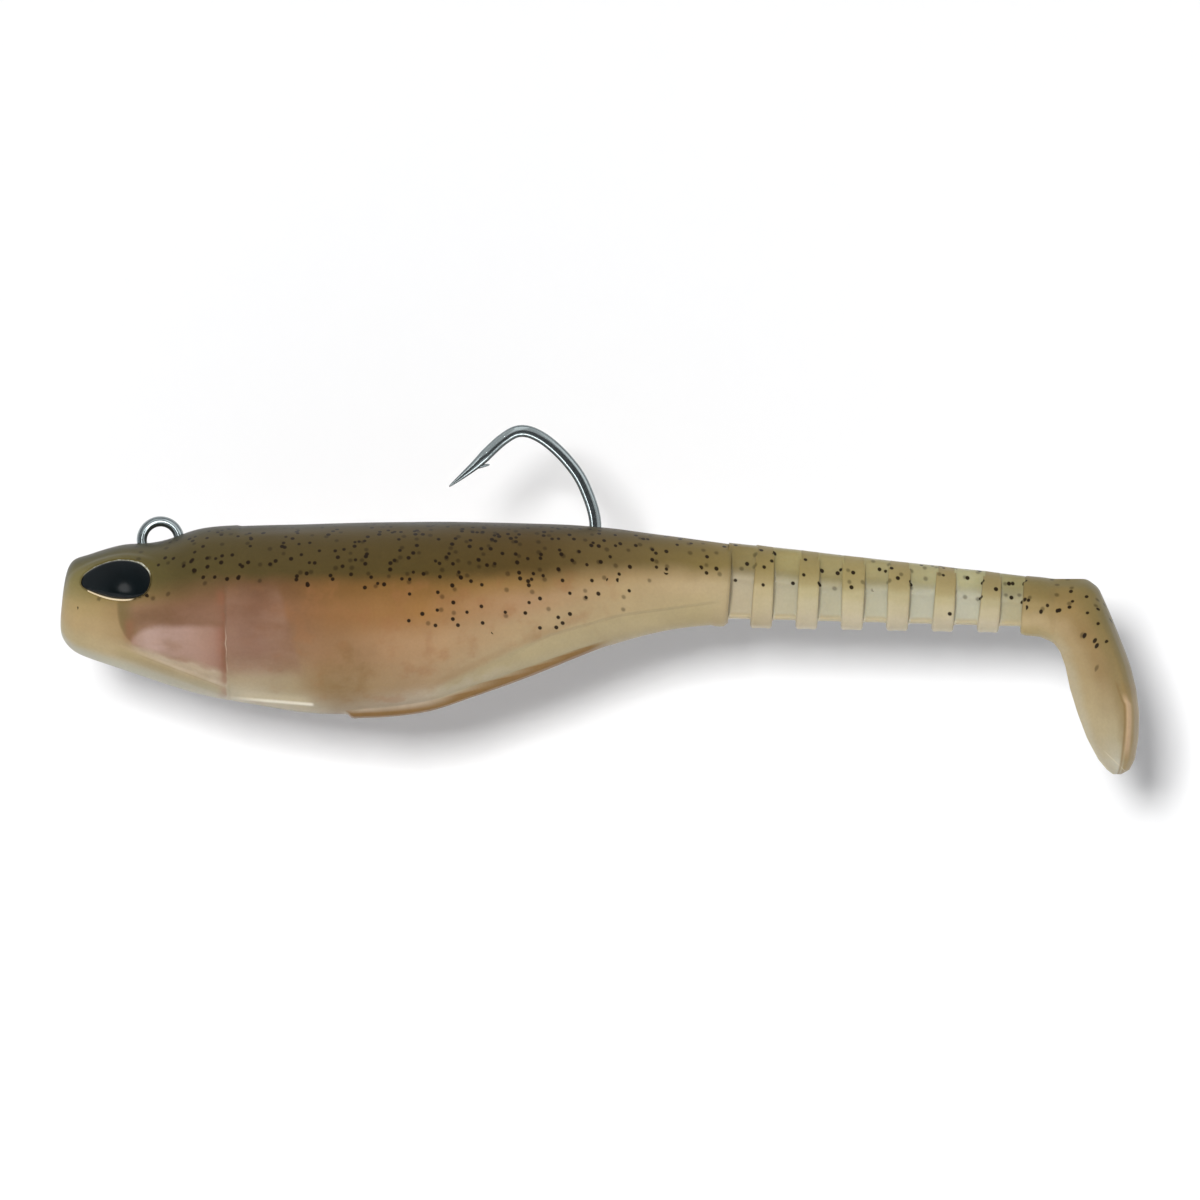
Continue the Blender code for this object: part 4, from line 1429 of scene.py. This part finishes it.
def light_the_gloss(hook, lenses):
    """Reflections: a soft round one in each eye, and bright lines along the inside of the hook's bend."""
    centre = Vector((-5.0, 0.0, -6.0))
    for side in (-1.0, 1.0):
        aim = Vector((-0.157, 0.95 * side, 0.25))
        name = "eye_glint_" + ("left" if side < 0 else "right")
        lamp = add_light(name, centre + LIGHT_AWAY * aim, centre, GLINT_SIZE, GLINT_POWER, "DISK")
        only_reflected(lamp, lenses)
    bend = Vector((50.0, 0.0, 8.0))
    # Name, lean along the bend's plane, turn round the bend, size and power.
    lines = [("bend_line", 0.42, turn, 20.0, 0.0075) for turn in range(172, 316, 18)]
    sheens = [("bend_sheen", 0.64, turn, 130.0, 0.045) for turn in (128.0, 66.0, 6.0)]
    for name, lean, turn, size, power in lines + sheens:
        turn = math.radians(turn)
        for side in (-1.0, 1.0):
            aim = Vector((lean * math.cos(turn), math.sqrt(1.0 - lean**2) * side, lean * math.sin(turn)))
            only_reflected(add_light(name, bend + BEND_AWAY * aim, bend, size, power), [hook])


def light_the_world():
    """An even studio, darker towards the front."""
    world = bpy.data.worlds.new("studio")
    world.use_nodes = True
    nodes = Nodes(world.node_tree)
    _, across, upwards = nodes.split(nodes.add("ShaderNodeTexCoord").outputs["Generated"])
    front = nodes.add("ShaderNodeMapRange", {0: across, 1: -1.0, 2: -0.45, 3: WORLD_FRONT, 4: 1.0},
                      interpolation_type="SMOOTHSTEP").outputs[0]
    above = nodes.add("ShaderNodeMapRange", {0: upwards, 3: WORLD_BELOW, 4: WORLD_ABOVE, 1: -1.0}).outputs[0]
    tint = nodes.add("ShaderNodeMixRGB", {0: Value(nodes, front) * above, 1: (0.0, 0.0, 0.0, 1.0),
                                          2: (0.975, 0.99, 1.035, 1.0)}).outputs[0]
    background = nodes.tree.nodes["Background"]
    background.inputs["Strength"].default_value = WORLD_STRENGTH
    nodes.set(background.inputs["Color"], tint)
    bpy.context.scene.world = world


def place_camera():
    """A long lens that looks straight at the left side."""
    camera = bpy.data.objects.new("camera", bpy.data.cameras.new("camera"))
    camera.data.lens = CAMERA_AWAY * camera.data.sensor_width / VIEW_WIDTH
    camera.data.clip_start = 0.05
    camera.data.clip_end = 20.0
    camera.location = Vector((VIEW_CENTRE[0], -CAMERA_AWAY, VIEW_CENTRE[1])) * MM
    camera.rotation_euler = (math.radians(90.0), 0.0, 0.0)
    bpy.context.scene.collection.objects.link(camera)
    bpy.context.scene.camera = camera
    bpy.context.scene.view_settings.view_transform = "Standard"


def build_stage():
    """White card behind, pale floor below, and a soft key from the upper left front."""
    far = SHEET_REACH
    foot = [(-far, CARD_Y, FLOOR_Z), (far, CARD_Y, FLOOR_Z)]
    flat_sheet("card", foot + [(far, CARD_Y, far), (-far, CARD_Y, far)], sheet_white("card_white", 0.96))
    floor = [(-far, -far, FLOOR_Z), (far, -far, FLOOR_Z)] + foot[::-1]
    flat_sheet("floor", floor, sheet_white("floor_white", 0.85))

    centre = Vector((VIEW_CENTRE[0], 0.0, VIEW_CENTRE[1]))
    key = add_light("key", centre + Vector(KEY_AIM).normalized() * LIGHT_AWAY, centre, KEY_SIZE, KEY_POWER)
    key.visible_glossy = False


def main():
    build_stage()
    light_the_world()
    place_camera()
    materials = {
        "plastisol": plastisol(),
        "web": web_plastic(),
        "boot": boot_plastic(),
        "steel": hook_steel(),
        "eye": eye_resin(),
        "foil": eye_foil(),
    }
    build_body(materials)
    lenses = []
    for word in EYES:
        lenses.append(build_dome(word, materials["eye"]))
        build_rim(word, materials["foil"])
    lines = tail_lines()
    for number in range(1, 7):
        build_rib(number, lines, materials)
    for number in range(1, 8):
        build_web(number, lines, materials)
    build_boot(materials)
    hook = build_hook(materials)
    light_the_gloss(hook, lenses)
    ballast = frame["nodes"]["lead_ballast"]
    ballast.data.materials.clear()
    ballast.data.materials.append(cast_lead())


main()
